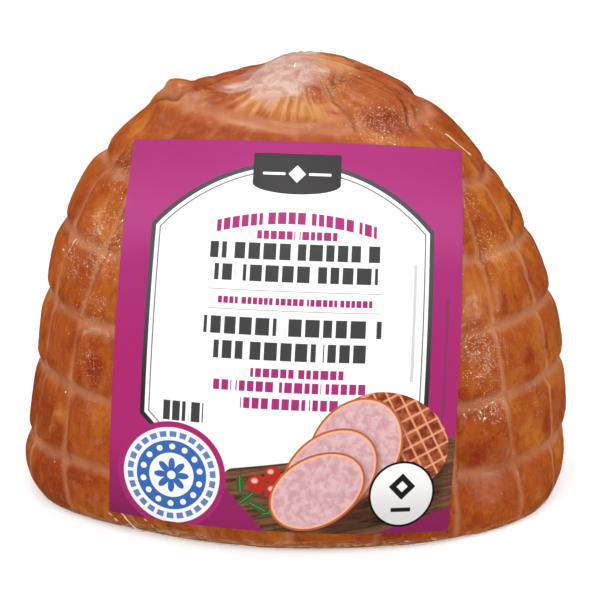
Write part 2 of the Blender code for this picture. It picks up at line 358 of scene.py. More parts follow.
# Vectors at each point of the skin, which the materials read by name
MEAT_ATTRIBUTES = ("net_marks", "zones", "skin_place", "cell_tone", "patches")
FILM_ATTRIBUTES = ("film_place", "film_zones")

# The arched white panel and the rows of blocks on the label, in mm
PANEL_HALF_WIDTH = 28.6
PANEL_ARCH_RADIUS = 37.2
PANEL_ARCH_MIDDLE = (0.0, -2.2, 0.0)
PANEL_CORNER = 46.1
PANEL_FOOT = 30.6
BLOCK_GAP = 0.13
WORD_GAP = 0.055

# Colours of the label's field at heights on it: partly the print's own gradient and partly painted light,
# with a painted sheen in the lighter band and painted shade towards the foot
FIELD_STOPS = (
    (39.0, "field_top_colour"), (22.0, "field_painted_sheen_colour"), (12.0, "field_top_colour"),
    (-6.0, "field_colour"), (-22.0, "field_colour"), (-34.0, "field_low_colour"),
    (-39.0, "field_foot_colour"),
)

# Rows of blocks: left, right, foot, top, ink, width of a block, width of a word, start and bend
WORD_ROWS = (
    (-16.0, 16.9, 22.3, 24.7, "word_colour", 1.9, 9.0, 0.3, 0.0085),
    (-8.0, 9.0, 19.2, 20.9, "word_colour", 1.5, 8.5, 0.55),
    (-16.3, 17.8, 15.1, 18.4, "ink_colour", 2.9, 13.0, 0.62),
    (-15.2, 17.4, 10.7, 14.0, "ink_colour", 3.0, 15.0, 0.35),
    (-14.2, 16.5, 6.1, 7.5, "word_colour", 1.15, 6.2, 0.15),
    (-16.7, 18.7, 0.0, 3.5, "ink_colour", 3.1, 17.0, 0.75),
    (-14.5, 15.6, -4.9, -1.3, "ink_colour", 2.9, 14.5, 0.22),
    (-7.8, 11.4, -8.3, -6.5, "word_colour", 1.6, 9.5, 0.45),
    (-14.2, 16.0, -11.2, -9.1, "word_colour", 1.8, 8.6, 0.85),
    (-8.7, 10.6, -14.6, -12.4, "word_colour", 1.9, 7.4, 0.05),
    (-24.3, -15.9, -18.2, -14.2, "ink_colour", 1.9, 6.6, 0.42),
)

# The picture of the food: berries as a place and a radius, leaves as a place and a turn,
# slices as a place, two radii and a turn
BERRIES = ((-4.6, -29.6, 1.9), (-1.5, -27.6, 1.7), (-1.2, -31.0, 1.8))
LEAVES = (
    (-6.6, -32.6, 40.0), (-4.4, -34.2, -25.0), (-1.6, -35.2, 15.0), (1.6, -36.4, -30.0), (-8.0, -29.9, 95.0),
)
SLICES = (
    (14.6, -22.2, 10.4, 8.4, 62.0), (9.8, -27.2, 10.0, 7.6, 44.0), (7.4, -30.6, 9.6, 6.6, 30.0),
)
BERRY_COLOUR = (0.42, 0.020, 0.010)
BERRY_SHINE = (0.95, 0.55, 0.45)
LEAF_COLOUR = (0.035, 0.11, 0.022)
LEAF_VEIN = (0.16, 0.30, 0.09)
SHADOW_COLOUR = (0.012, 0.004, 0.003)
PICTURE_NET_COLOUR = (0.80, 0.36, 0.20)
SLICE_SHADOW = (0.10, 0.02, 0.015)
SLICE_RIM = (0.86, 0.42, 0.26)

# The badges
ROSETTE_MIDDLE = (-21.8, -29.4)
ROSETTE_DASHES = 26.0
ROSETTE_DOTS = 14.0
ROSETTE_DOT_RADIUS = 5.8
BADGE_BLACK = (0.012, 0.012, 0.012)


def smooth_step(low, high, value):
    share = min(1.0, max(0.0, (value - low) / (high - low)))
    return share * share * (3.0 - 2.0 * share)


def profile_point(turn):
    """(radius, height) of the round ham without relief. turn is 0 at its top and 2 at its cut edge."""
    radius = WIDTH / 2.0
    if turn <= 1.0:
        angle = turn * math.pi / 2.0
        rise = HEIGHT - WIDEST_LEVEL
        height = WIDEST_LEVEL + rise * max(0.0, math.cos(angle)) ** (2.0 / SIDE_FULLNESS)
        return radius * math.sin(angle) ** (2.0 / TOP_FULLNESS), height
    below = turn - 1.0
    inset = CUT_EDGE_WIDTH * (1.0 - math.sqrt(1.0 - (CUT_EDGE_ROUNDNESS * below) ** 2))
    return radius - inset, WIDEST_LEVEL * (1.0 - below)


def measured_profile():
    """The profile from the cut edge to the top, each point with its distance along the skin first."""
    points = []
    travelled = 0.0
    for index in range(PROFILE_SAMPLES + 1):
        turn = 2.0 * (1.0 - index / PROFILE_SAMPLES)
        radius, height = profile_point(turn)
        if points:
            travelled += math.hypot(radius - points[-1][1], height - points[-1][2])
        points.append((travelled, radius, height))
    return points


PROFILE = measured_profile()
SKIN_LENGTH = PROFILE[-1][0]
EDGE_RADIUS = PROFILE[0][1]


def profile_at(along):
    """(radius, height, outward normal) at a distance along the skin from the cut edge."""
    low, high = 0, len(PROFILE) - 1
    while high - low > 1:
        middle = (low + high) // 2
        if PROFILE[middle][0] <= along:
            low = middle
        else:
            high = middle
    start, end = PROFILE[low], PROFILE[high]
    share = (along - start[0]) / (end[0] - start[0])
    run, rise = end[1] - start[1], end[2] - start[2]
    length = math.hypot(run, rise)
    return start[1] + share * run, start[2] + share * rise, (rise / length, -run / length)


def ring_place(along):
    """(cell number, place in the cell from 0 to 1, cell length) along the skin."""
    edges = (2.0 * NET_RINGS[0] - NET_RINGS[1], *NET_RINGS, SKIN_LENGTH + LAST_CELL_OVERRUN)
    for index, (low, high) in enumerate(zip(edges, edges[1:])):
        if along < high:
            return index, (along - low) / (high - low), high - low
    return len(edges) - 2, 1.0, edges[-1] - edges[-2]


def drift(angle, share):
    """Sideways wander of a net line, so that no two cells are alike."""
    wander = math.sin(3.0 * angle + 5.0 * share)
    ripple = math.sin(7.0 * angle - 9.0 * share + 1.3)
    return LINE_WANDER * wander + LINE_RIPPLE * ripple


def rise_and_fall(angle, share):
    """How far a net ring wanders up the skin, as the elastic was never wound level."""
    wander = math.sin(2.0 * angle + 0.7 + 3.0 * share)
    ripple = math.sin(5.0 * angle + 6.0 * share)
    return RING_WANDER * wander + RING_RIPPLE * ripple


def lump(angle, share, at_angle, at_share, angle_reach, share_reach):
    turn = math.remainder(angle - at_angle, 2.0 * math.pi)
    return math.exp(-((turn / angle_reach) ** 2) - ((share - at_share) / share_reach) ** 2)


def body_swell(angle, share):
    """How far the meat stands out of the turned form, as it is fuller on the left than on the right."""
    out = 0.0
    for height, at_angle, at_share, reach, share_reach in SWELLS.values():
        if abs(share - at_share) < 3.5 * share_reach:
            place, angle_reach = math.radians(at_angle), math.radians(reach)
            out += height * lump(angle, share, place, at_share, angle_reach, share_reach)
    return out


def crown_rise(across, back):
    """How far the gathered top stands up above the dome, at a place seen from above."""
    away = math.hypot(across - CROWN_MIDDLE[0], back - CROWN_MIDDLE[1])
    return CROWN_RISE * math.exp(-((away / CROWN_REACH) ** 2))


class SkinSpot:
    """One place of the skin: where the net pattern puts it, and the smooth form below it."""

    def __init__(self, angle, along, with_net=True):
        self.net_angle = angle
        self.net_along = along
        share = along / SKIN_LENGTH
        self.angle = angle
        self.along = along
        if with_net:
            loose = smooth_step(0.0, HELD_AT_FOOT, share)
            loose *= smooth_step(0.0, HELD_AT_GATHER, 1.0 - share)
            self.angle += loose * drift(angle, share)
            self.along += loose * rise_and_fall(angle, share)
        self.radius, self.height, self.normal = profile_at(self.along)
        below_pole = smooth_step(0.0, HELD_AT_POLE, 1.0 - share)
        self.swell = body_swell(self.angle, self.along / SKIN_LENGTH) * below_pole
        self.from_pole = SKIN_LENGTH - self.along

    def point(self, lift):
        """The place at a lift above the smooth form. The cut edge moves outwards only."""
        out = lift + self.swell
        radius = self.radius + out * self.normal[0]
        height = self.height
        if self.net_along > 0.0:
            height += out * self.normal[1]
        across = radius * math.sin(self.angle)
        back = -radius * math.cos(self.angle) * DEPTH / WIDTH
        return Vector((across, back, height + crown_rise(across, back)))

    def from_line(self, points):
        """Distance on the skin from a line of (degrees, millimetres) points, or None if it is far off."""
        nearest = None
        for start, end in zip(points, points[1:]):
            along_start = start[1] * 0.001 - self.along
            along_end = end[1] * 0.001 - self.along
            if min(along_start, along_end) > FOLD_REACH or max(along_start, along_end) < -FOLD_REACH:
                continue
            turn_start = math.remainder(math.radians(start[0]) - self.angle, 2.0 * math.pi)
            turn_end = turn_start + math.remainder(math.radians(end[0] - start[0]), 2.0 * math.pi)
            side_start, side_end = turn_start * self.radius, turn_end * self.radius
            if min(side_start, side_end) > FOLD_REACH or max(side_start, side_end) < -FOLD_REACH:
                continue
            run, rise = side_end - side_start, along_end - along_start
            share = -(side_start * run + along_start * rise) / (run * run + rise * rise)
            share = min(1.0, max(0.0, share))
            away = math.hypot(side_start + share * run, along_start + share * rise)
            nearest = away if nearest is None else min(nearest, away)
        return nearest

    def from_spot(self, degrees, millimetres):
        turn = math.remainder(math.radians(degrees) - self.angle, 2.0 * math.pi)
        return math.hypot(turn * self.radius, millimetres * 0.001 - self.along)


def gaussian(distance, reach):
    return math.exp(-((distance / reach) ** 2))


def label_place(across, up):
    """Where a place of the label, each way from -1 to 1, lies in the leaning plane."""
    right, high = (1.0 + across) / 2.0, (1.0 + up) / 2.0
    foot = Vector(LABEL_FOOT_LEFT).lerp(Vector(LABEL_FOOT_RIGHT), right)
    top = Vector(LABEL_TOP_LEFT).lerp(Vector(LABEL_TOP_RIGHT), right)
    bow = LABEL_SIDE_BOW * across * (1.0 - up * up)
    sag = LABEL_FOOT_SAG * (1.0 - across * across) * (1.0 - high)
    return foot.lerp(top, high) + Vector((bow, -sag))


def under_label(point, margin):
    """1 under the label, falling to 0 at a margin outside it, so that film and meat press flat there."""
    if point.y > 0.0:
        return 0.0
    across = point.x
    up = point.z * math.cos(LABEL_TILT_BACK) + point.y * math.sin(LABEL_TILT_BACK)
    foot_left, foot_right = Vector(LABEL_FOOT_LEFT), Vector(LABEL_FOOT_RIGHT)
    top_left, top_right = Vector(LABEL_TOP_LEFT), Vector(LABEL_TOP_RIGHT)
    high = (up - foot_left.y) / (top_left.y - foot_left.y)
    left = foot_left.x + (top_left.x - foot_left.x) * high
    right = foot_right.x + (top_right.x - foot_right.x) * high
    over = (across - left) / (right - left)
    top = top_left.y + (top_right.y - top_left.y) * over
    foot = foot_left.y + (foot_right.y - foot_left.y) * over
    outside = max(left - across, across - right, up - top, foot - up)
    return 1.0 - smooth_step(0.0, margin, outside)


def net_pattern(spot):
    """How strongly the net marks this place: ring, line, the line's dark side, and the cell's swelling. The
    dark side is a shallow hollow along one side of each line, and the meat material lays painted shade there.
    """
    cells = (spot.net_angle - NET_TURN) * NET_LINES / (2.0 * math.pi)
    number = math.floor(cells + 1e-6)
    across = min(1.0, max(0.0, cells - number))
    ring, up, length = ring_place(spot.net_along)
    up = min(1.0, max(0.0, up))
    cell_width = 2.0 * math.pi * spot.radius / NET_LINES
    to_line = min(across, 1.0 - across) * cell_width
    to_ring = min(up, 1.0 - up) * length
    from_pole = SKIN_LENGTH - spot.net_along
    gathered = smooth_step(0.0, GATHER_REACH, from_pole)
    lined = smooth_step(*LINES_FADE, from_pole)
    swell = math.sqrt(max(0.0, math.sin(math.pi * across) * math.sin(math.pi * up)))
    fullness = 1.0 - FULLNESS_SPREAD * (1.0 - math.sin(2.3 * number + 4.1 * ring))
    side = across * cell_width if across < 0.5 else (across - 1.0) * cell_width
    wide_enough = smooth_step(*NARROW_CELL, cell_width * 0.5)
    ring_reach = TOP_RING_REACH if spot.net_along > TOP_RING_FROM else RING_REACH
    return {
        "ring": gaussian(to_ring, ring_reach) * smooth_step(0.0, FIRST_RING_FROM, spot.net_along),
        "line": gaussian(to_line, LINE_REACH) * lined,
        "dark_side": gaussian(side - DARK_SIDE_PLACE, DARK_SIDE_REACH) * wide_enough * lined,
        "ring_groove": gaussian(to_ring, GROOVE_ABOVE if up < 0.5 else GROOVE_BELOW),
        "line_groove": gaussian(to_line, LINE_GROOVE) * lined,
        "swell": swell * fullness,
        "relief": gathered * smooth_step(0.0, NET_RINGS[0], spot.net_along),
        "gathered": gathered,
        "up": up,
        "number": number + 7 * ring,
    }


def gather_folds(spot):
    """Soft ridges that run down from the gathered top, from 0 in a furrow to 1 on a ridge."""
    height = 0.0
    for round_scale, up_scale, shift, softness, sharpness, weight in GATHER_RIDGES:
        across = math.cos(spot.angle) * round_scale
        back = math.sin(spot.angle) * round_scale
        wave = noise.noise(Vector((across, back, spot.along * up_scale + shift)))
        height += weight * (1.0 - math.sqrt(wave ** 2 + softness) * sharpness)
    return height


def fold_depth(spot, folds):
    """How deep the named folds cut here."""
    deepest = 0.0
    for depth, half_width, points in folds.values():
        levels = [point[1] * 0.001 for point in points]
        if not min(levels) - FOLD_REACH < spot.along < max(levels) + FOLD_REACH:
            continue
        away = spot.from_line(points)
        if away is not None:
            deepest = max(deepest, depth * gaussian(away, half_width))
    return deepest


def pit_depth(spot):
    return sum(
        depth * gaussian(spot.from_spot(degrees, millimetres), reach)
        for depth, reach, degrees, millimetres in PITS.values()
    )


def patch_share(spot, patches):
    """How strongly the named patches cover this place."""
    share = 0.0
    for strength, reach, degrees, millimetres in patches.values():
        if abs(millimetres * 0.001 - spot.along) < PATCH_ENDS * reach:
            share = max(share, strength * gaussian(spot.from_spot(degrees, millimetres), reach))
    return share


def skin_ball(name, segments, rings):
    """A ball, as the start of a closed skin, alone in the selection."""
    bpy.ops.object.select_all(action="DESELECT")
    bpy.ops.mesh.primitive_uv_sphere_add(segments=segments, ring_count=rings, radius=HEIGHT / 2.0)
    ball = bpy.context.object
    ball.name = name
    ball.data.name = name
    return ball


def ball_places(ball, rings):
    """(vertex, row from the top, angle) of each point of the ball, before any is moved."""
    places = []
    for vertex in ball.data.vertices:
        polar = math.acos(max(-1.0, min(1.0, vertex.co.z / (HEIGHT / 2.0))))
        places.append((vertex, round(polar * rings / math.pi), math.atan2(vertex.co.x, -vertex.co.y)))
    return places


def net_column(angle):
    """The angle of a column of points, crowded towards the net lines. Columns start at a net line."""
    cells = angle * NET_LINES / (2.0 * math.pi)
    number = math.floor(cells + 1e-6)
    share = cells - number
    drawn_in = share - COLUMN_CROWDING * math.sin(2.0 * math.pi * share)
    return NET_TURN + (number + drawn_in) * 2.0 * math.pi / NET_LINES


def crown_share(point):
    """1 in the pale gathered crown and 0 outside it, with an uneven edge."""
    wander = noise.noise(point * CROWN_EDGE_SCALE + CROWN_EDGE_SHIFT)
    across = (point.x - PALE_CROWN_MIDDLE[0]) / PALE_CROWN_RADII[0]
    back = (point.y - PALE_CROWN_MIDDLE[1]) / PALE_CROWN_RADII[1]
    return 1.0 - smooth_step(*PALE_CROWN_EDGE, math.hypot(across, back) + CROWN_WANDER * wander)


class SkinLayers:
    """Where the meat's surface and the film's surface lie above the smooth form at one place."""

    def __init__(self, spot, meat, film):
        net = net_pattern(spot)
        base = spot.point(0.0)
        fold = fold_depth(spot, FOLDS)
        pits = pit_depth(spot)
        lumps = meat.lump_height * noise.noise(base * LUMP_SCALE)
        fine_lumps = meat.lump_height * noise.noise(base * FINE_LUMP_SCALE + FINE_LUMP_SHIFT)
        mark = max(meat.ring_mark_depth * net["ring_groove"], meat.line_mark_depth * net["line_groove"])
        in_gather = smooth_step(*GATHER_LEVELS, spot.along / SKIN_LENGTH)
        in_gather *= smooth_step(0.0, POLE_REACH, spot.from_pole)
        for degrees, millimetres, reach in SMOOTH_LOBES:
            in_gather *= 1.0 - LOBE_SMOOTHING * gaussian(spot.from_spot(degrees, millimetres), reach)
        ridges = in_gather * meat.gather_fold_height * (gather_folds(spot) - FURROW_LEVEL)
        swell = meat.cell_bulge * net["swell"]
        meat_out = net["relief"] * (swell - mark - DARK_SIDE_DEPTH * net["dark_side"])
        meat_out += lumps + FINE_LUMP_SHARE * fine_lumps + ridges - fold - pits
        bridged = net["relief"] * (swell - BRIDGED_MARK * mark)
        bridged += BRIDGED_LUMPS * lumps + BRIDGED_RIDGES * ridges - BRIDGED_FOLD * fold - BRIDGED_PIT * pits
        self.pleat = fold_depth(spot, PLEATS)
        film_out = max(meat_out, bridged) + film.clearance + self.pleat
        covered = under_label(base, LABEL_MARGIN)
        self.net = net
        self.fold = fold
        self.meat_out = meat_out + covered * (MEAT_UNDER_LABEL - meat_out)
        self.film_out = film_out + covered * (FILM_UNDER_LABEL - film_out)
        self.crown = crown_share(base)


def all_layers(ball, rings, meat, film):
    """(vertex, spot, layers, share of the cut face's radius) for each point of a ball of skin."""
    placed = []
    for vertex, row, angle in ball_places(ball, rings):
        along = SKIN_LENGTH * max(0.0, 1.0 - row / SKIN_ROWS)
        inward = max(0, row - SKIN_ROWS) / CUT_FACE_ROWS
        spot = SkinSpot(net_column(angle) if 0 < row < rings else 0.0, along)
        placed.append((vertex, spot, SkinLayers(spot, meat, film), 1.0 - inward))
    return placed


def new_attribute(mesh, name, values):
    """A vector for each point of the mesh, which the materials read by name."""
    attribute = mesh.attributes.new(name, "FLOAT_VECTOR", "POINT")
    attribute.data.foreach_set("vector", [number for value in values for number in value])


def remove_attributes(mesh, names):
    for name in names:
        mesh.attributes.remove(mesh.attributes[name])


def finish_mesh(piece, material, smooth_angle=None):
    """Gives a piece its material and its shading."""
    piece.data.materials.clear()
    piece.data.materials.append(material)
    bpy.ops.object.select_all(action="DESELECT")
    piece.select_set(True)
    bpy.context.view_layer.objects.active = piece
    if smooth_angle is None:
        bpy.ops.object.shade_smooth()
    else:
        bpy.ops.object.shade_smooth_by_angle(angle=smooth_angle)


class Wire:
    """A value in a shader. Arithmetic on wires that carry numbers adds maths nodes to their tree."""

    def __init__(self, tree, socket):
        self.tree = tree
        self.socket = socket

    def __add__(self, other):
        return maths("ADD", self, other)

    def __sub__(self, other):
        return maths("SUBTRACT", self, other)

    def __rsub__(self, other):
        return maths("SUBTRACT", other, self)

    def __mul__(self, other):
        return maths("MULTIPLY", self, other)

    def __truediv__(self, other):
        return maths("DIVIDE", self, other)

    def __abs__(self):
        return maths("ABSOLUTE", self)

    def __neg__(self):
        return maths("MULTIPLY", self, -1.0)


def tree_of(values):
    return next(value.tree for value in values if isinstance(value, Wire))


def feed(tree, socket, value):
    """Links a wire or a node's output to a socket, or sets the socket to a value."""
    if isinstance(value, Wire):
        value = value.socket
    if isinstance(value, bpy.types.NodeSocket):
        tree.links.new(value, socket)
    elif socket.type == "RGBA" and len(value) == 3:
        socket.default_value = (*value, 1.0)
    else:
        socket.default_value = value


def add_node(tree, kind, inputs=None, **settings):
    """A shader node with its settings, its inputs fed by wires or set to values."""
    node = tree.nodes.new(kind)
    for name, value in settings.items():
        setattr(node, name, value)
    for name, value in (inputs or {}).items():
        feed(tree, node.inputs[name], value)
    return node


def add_wire(tree, kind, inputs=None, output=0, **settings):
    """One output of a new shader node."""
    return Wire(tree, add_node(tree, kind, inputs, **settings).outputs[output])


def maths(operation, *values, clamp=False):
    inputs = dict(enumerate(values))
    return add_wire(tree_of(values), "ShaderNodeMath", inputs, operation=operation, use_clamp=clamp)


def vector_maths(operation, *values, output=0):
    inputs = dict(enumerate(values))
    return add_wire(tree_of(values), "ShaderNodeVectorMath", inputs, output, operation=operation)


def length_of(vector):
    return vector_maths("LENGTH", vector, output=1)


def greatest(one, other):
    return maths("MAXIMUM", one, other)


def least(one, other):
    return maths("MINIMUM", one, other)


def squared(value):
    return maths("POWER", value, 2.0)


def fade(value, start, end, low=0.0, high=1.0):
    """A smooth change from low to high while the value goes from start to end."""
    inputs = {"Value": value, "From Min": start, "From Max": end, "To Min": low, "To Max": high}
    return add_wire(value.tree, "ShaderNodeMapRange", inputs, interpolation_type="SMOOTHSTEP")


def blend(share, under, over):
    """One colour over another by a share."""
    return add_wire(share.tree, "ShaderNodeMix", {0: share, 6: under, 7: over}, 2, data_type="RGBA")


def parts_of(vector):
    """The three numbers of a vector."""
    outputs = add_node(vector.tree, "ShaderNodeSeparateXYZ", {"Vector": vector}).outputs
    return [Wire(vector.tree, output) for output in outputs]


def cloud(place, scale, detail=2.0, roughness=0.5, distortion=0.0):
    """Soft noise from 0 to 1."""
    inputs = {"Vector": place, "Scale": scale, "Detail": detail, "Roughness": roughness}
    inputs["Distortion"] = distortion
    return add_wire(place.tree, "ShaderNodeTexNoise", inputs)


def bumped(height, strength, distance):
    inputs = {"Height": height, "Strength": strength, "Distance": distance}
    return add_wire(height.tree, "ShaderNodeBump", inputs)


def turned(place, angle):
    """A place turned about the middle of the print by an angle or a wire."""
    inputs = {"Vector": place, "Angle": angle}
    return add_wire(place.tree, "ShaderNodeVectorRotate", inputs, rotation_type="Z_AXIS")


def attribute(tree, name):
    return add_wire(tree, "ShaderNodeAttribute", output="Vector", attribute_name=name)


def object_place(tree):
    return add_wire(tree, "ShaderNodeTexCoord", output="Object")


def darker(colour, strength):
    return [channel * strength for channel in colour]


def mix_shaders(tree, share, first, second):
    """The first shader, turning into the second as the share goes to 1."""
    return add_node(tree, "ShaderNodeMixShader", {0: share, 1: first.outputs[0], 2: second.outputs[0]})


def new_material(name):
    """(material, its empty tree)"""
    material = bpy.data.materials.new(name)
    material.use_nodes = True
    material.node_tree.nodes.clear()
    return material, material.node_tree


def use_shader(tree, shader, kind="ShaderNodeOutputMaterial"):
    add_node(tree, kind, {"Surface": shader.outputs[0]})


def new_group(name, result, **inputs):
    """(group tree, wires of its inputs, socket of its result). An input of None is a vector."""
    tree = bpy.data.node_groups.new(name, "ShaderNodeTree")
    for key, default in inputs.items():
        kind = "NodeSocketVector" if default is None else "NodeSocketFloat"
        socket = tree.interface.new_socket(key.replace("_", " "), in_out="INPUT", socket_type=kind)
        if default is not None:
            socket.default_value = default
    tree.interface.new_socket(result, in_out="OUTPUT", socket_type="NodeSocketFloat")
    entry = tree.nodes.new("NodeGroupInput")
    leave = tree.nodes.new("NodeGroupOutput")
    return tree, [Wire(tree, socket) for socket, _ in zip(entry.outputs, inputs)], leave.inputs[result]


def use_group(group, **inputs):
    """The result of a group. Its inputs are named with underscores for spaces."""
    named = {name.replace("_", " "): value for name, value in inputs.items()}
    return add_wire(tree_of(inputs.values()), "ShaderNodeGroup", named, node_tree=group)


def box_mark_group():
    """A printed box: its middle, half size, turn and rounded corners, in millimetres on the label."""
    tree, wires, result = new_group(
        "box_mark", "Mask", Place=None, Middle=None, Half_Size=None, Turn=0.0, Corner=0.0, Softness=0.06,
    )
    place, middle, half_size, turn, corner, softness = wires
    across, up, _ = parts_of(turned(vector_maths("SUBTRACT", place, middle), -turn))
    half_across, half_up, _ = parts_of(half_size)
    over = abs(across) - half_across + corner
    above = abs(up) - half_up + corner
    squares = squared(greatest(over, 0.0)) + squared(greatest(above, 0.0))
    away = maths("SQRT", squares) + least(greatest(over, above), 0.0) - corner
    feed(tree, result, fade(away, softness, -softness))
    return tree


def round_mark_group():
    """A printed disc or oval: its middle, its two radii and its turn."""
    tree, wires, result = new_group(
        "round_mark", "Mask", Place=None, Middle=None, Radii=None, Turn=0.0, Softness=0.06,
    )
    place, middle, radii, turn, softness = wires
    from_middle = turned(vector_maths("SUBTRACT", place, middle), -turn)
    flat = vector_maths("MULTIPLY", from_middle, (1.0, 1.0, 0.0))
    away = length_of(vector_maths("DIVIDE", flat, radii)) - 1.0
    radius_across, radius_up, _ = parts_of(radii)
    away = away * ((radius_across + radius_up) * 0.5)
    feed(tree, result, fade(away, softness, -softness))
    return tree


def word_row_group(box_mark):
    """A printed row of plain blocks with gaps, in the place of a row of words."""
    tree, wires, result = new_group(
        "word_row", "Mask", Place=None, Middle=None, Half_Size=None, Bend=0.0,
        Block_Width=2.0, Word_Width=12.0, Start=0.0,
    )
    place, middle, half_size, bend, block_width, word_width, start = wires
    across, up, _ = parts_of(place)
    bent_up = up + squared(abs(across)) * bend
    bent = add_wire(tree, "ShaderNodeCombineXYZ", {"X": across, "Y": bent_up})
    row = use_group(box_mark, Place=bent, Middle=middle, Half_Size=half_size)
    for width, gap in ((block_width, BLOCK_GAP), (word_width, WORD_GAP)):
        to_edge = add_wire(
            tree, "ShaderNodeTexVoronoi", {"W": across / width + start, "Scale": 1.0, "Randomness": 0.45},
            "Distance", voronoi_dimensions="1D", feature="DISTANCE_TO_EDGE",
        )
        row = row * fade(to_edge, gap * 0.72, gap)
    feed(tree, result, row)
    return tree


def panel_depth_group():
    """How far inside the label's arched white panel a place is, in millimetres."""
    tree, (place,), result = new_group("arched_panel", "Depth", Place=None)
    across, up, _ = parts_of(place)
    aside = abs(across)
    from_side = PANEL_HALF_WIDTH - aside
    from_arch = PANEL_ARCH_RADIUS - length_of(vector_maths("SUBTRACT", place, PANEL_ARCH_MIDDLE))
    from_corner = (PANEL_CORNER - (aside - up)) * math.sqrt(0.5)
    depth = least(least(from_side, from_arch), least(from_corner, up + PANEL_FOOT))
    feed(tree, result, depth)
    return tree


def fine_creases_group():
    """Small crossing creases from 0 to 1, of stretched film and of pressed paper."""
    tree, (place, scale, sharpness), result = new_group(
        "fine_creases", "Height", Place=None, Scale=300.0, Sharpness=3.0,
    )
    away = abs(cloud(place, scale, 3.0, 0.55, 0.6) - 0.5)
    feed(tree, result, maths("POWER", 1.0 - away * 2.0, sharpness))
    return tree


def speckled(colour, pattern, light, dark, meat):
    """Lighter amber where a pattern is strong, and red-brown where it is weak."""
    colour = blend(fade(pattern, *light), colour, meat.amber_colour)
    return blend(fade(pattern, *dark), colour, meat.red_colour)


def crown_colours(here, freckles, meat):
    """The gathered crown: mottled pink with grey-brown veins and pale flecks."""
    clouds = cloud(here, 230.0, 5.0, 0.68, 0.9)
    colour = blend(fade(clouds, 0.38, 0.64), meat.crown_colour, meat.crown_light_colour)
    veins = cloud(here, 560.0, 4.0, 0.68, 1.2)
    colour = blend(fade(abs(veins - 0.5), 0.045, 0.0, 0.0, 0.30), colour, meat.vein_colour)
    colour = blend(fade(veins, 0.44, 0.30, 0.0, 0.65), colour, meat.vein_colour)
    return clouds, blend(fade(freckles, 0.58, 0.70, 0.0, 0.55), colour, meat.crown_light_colour)


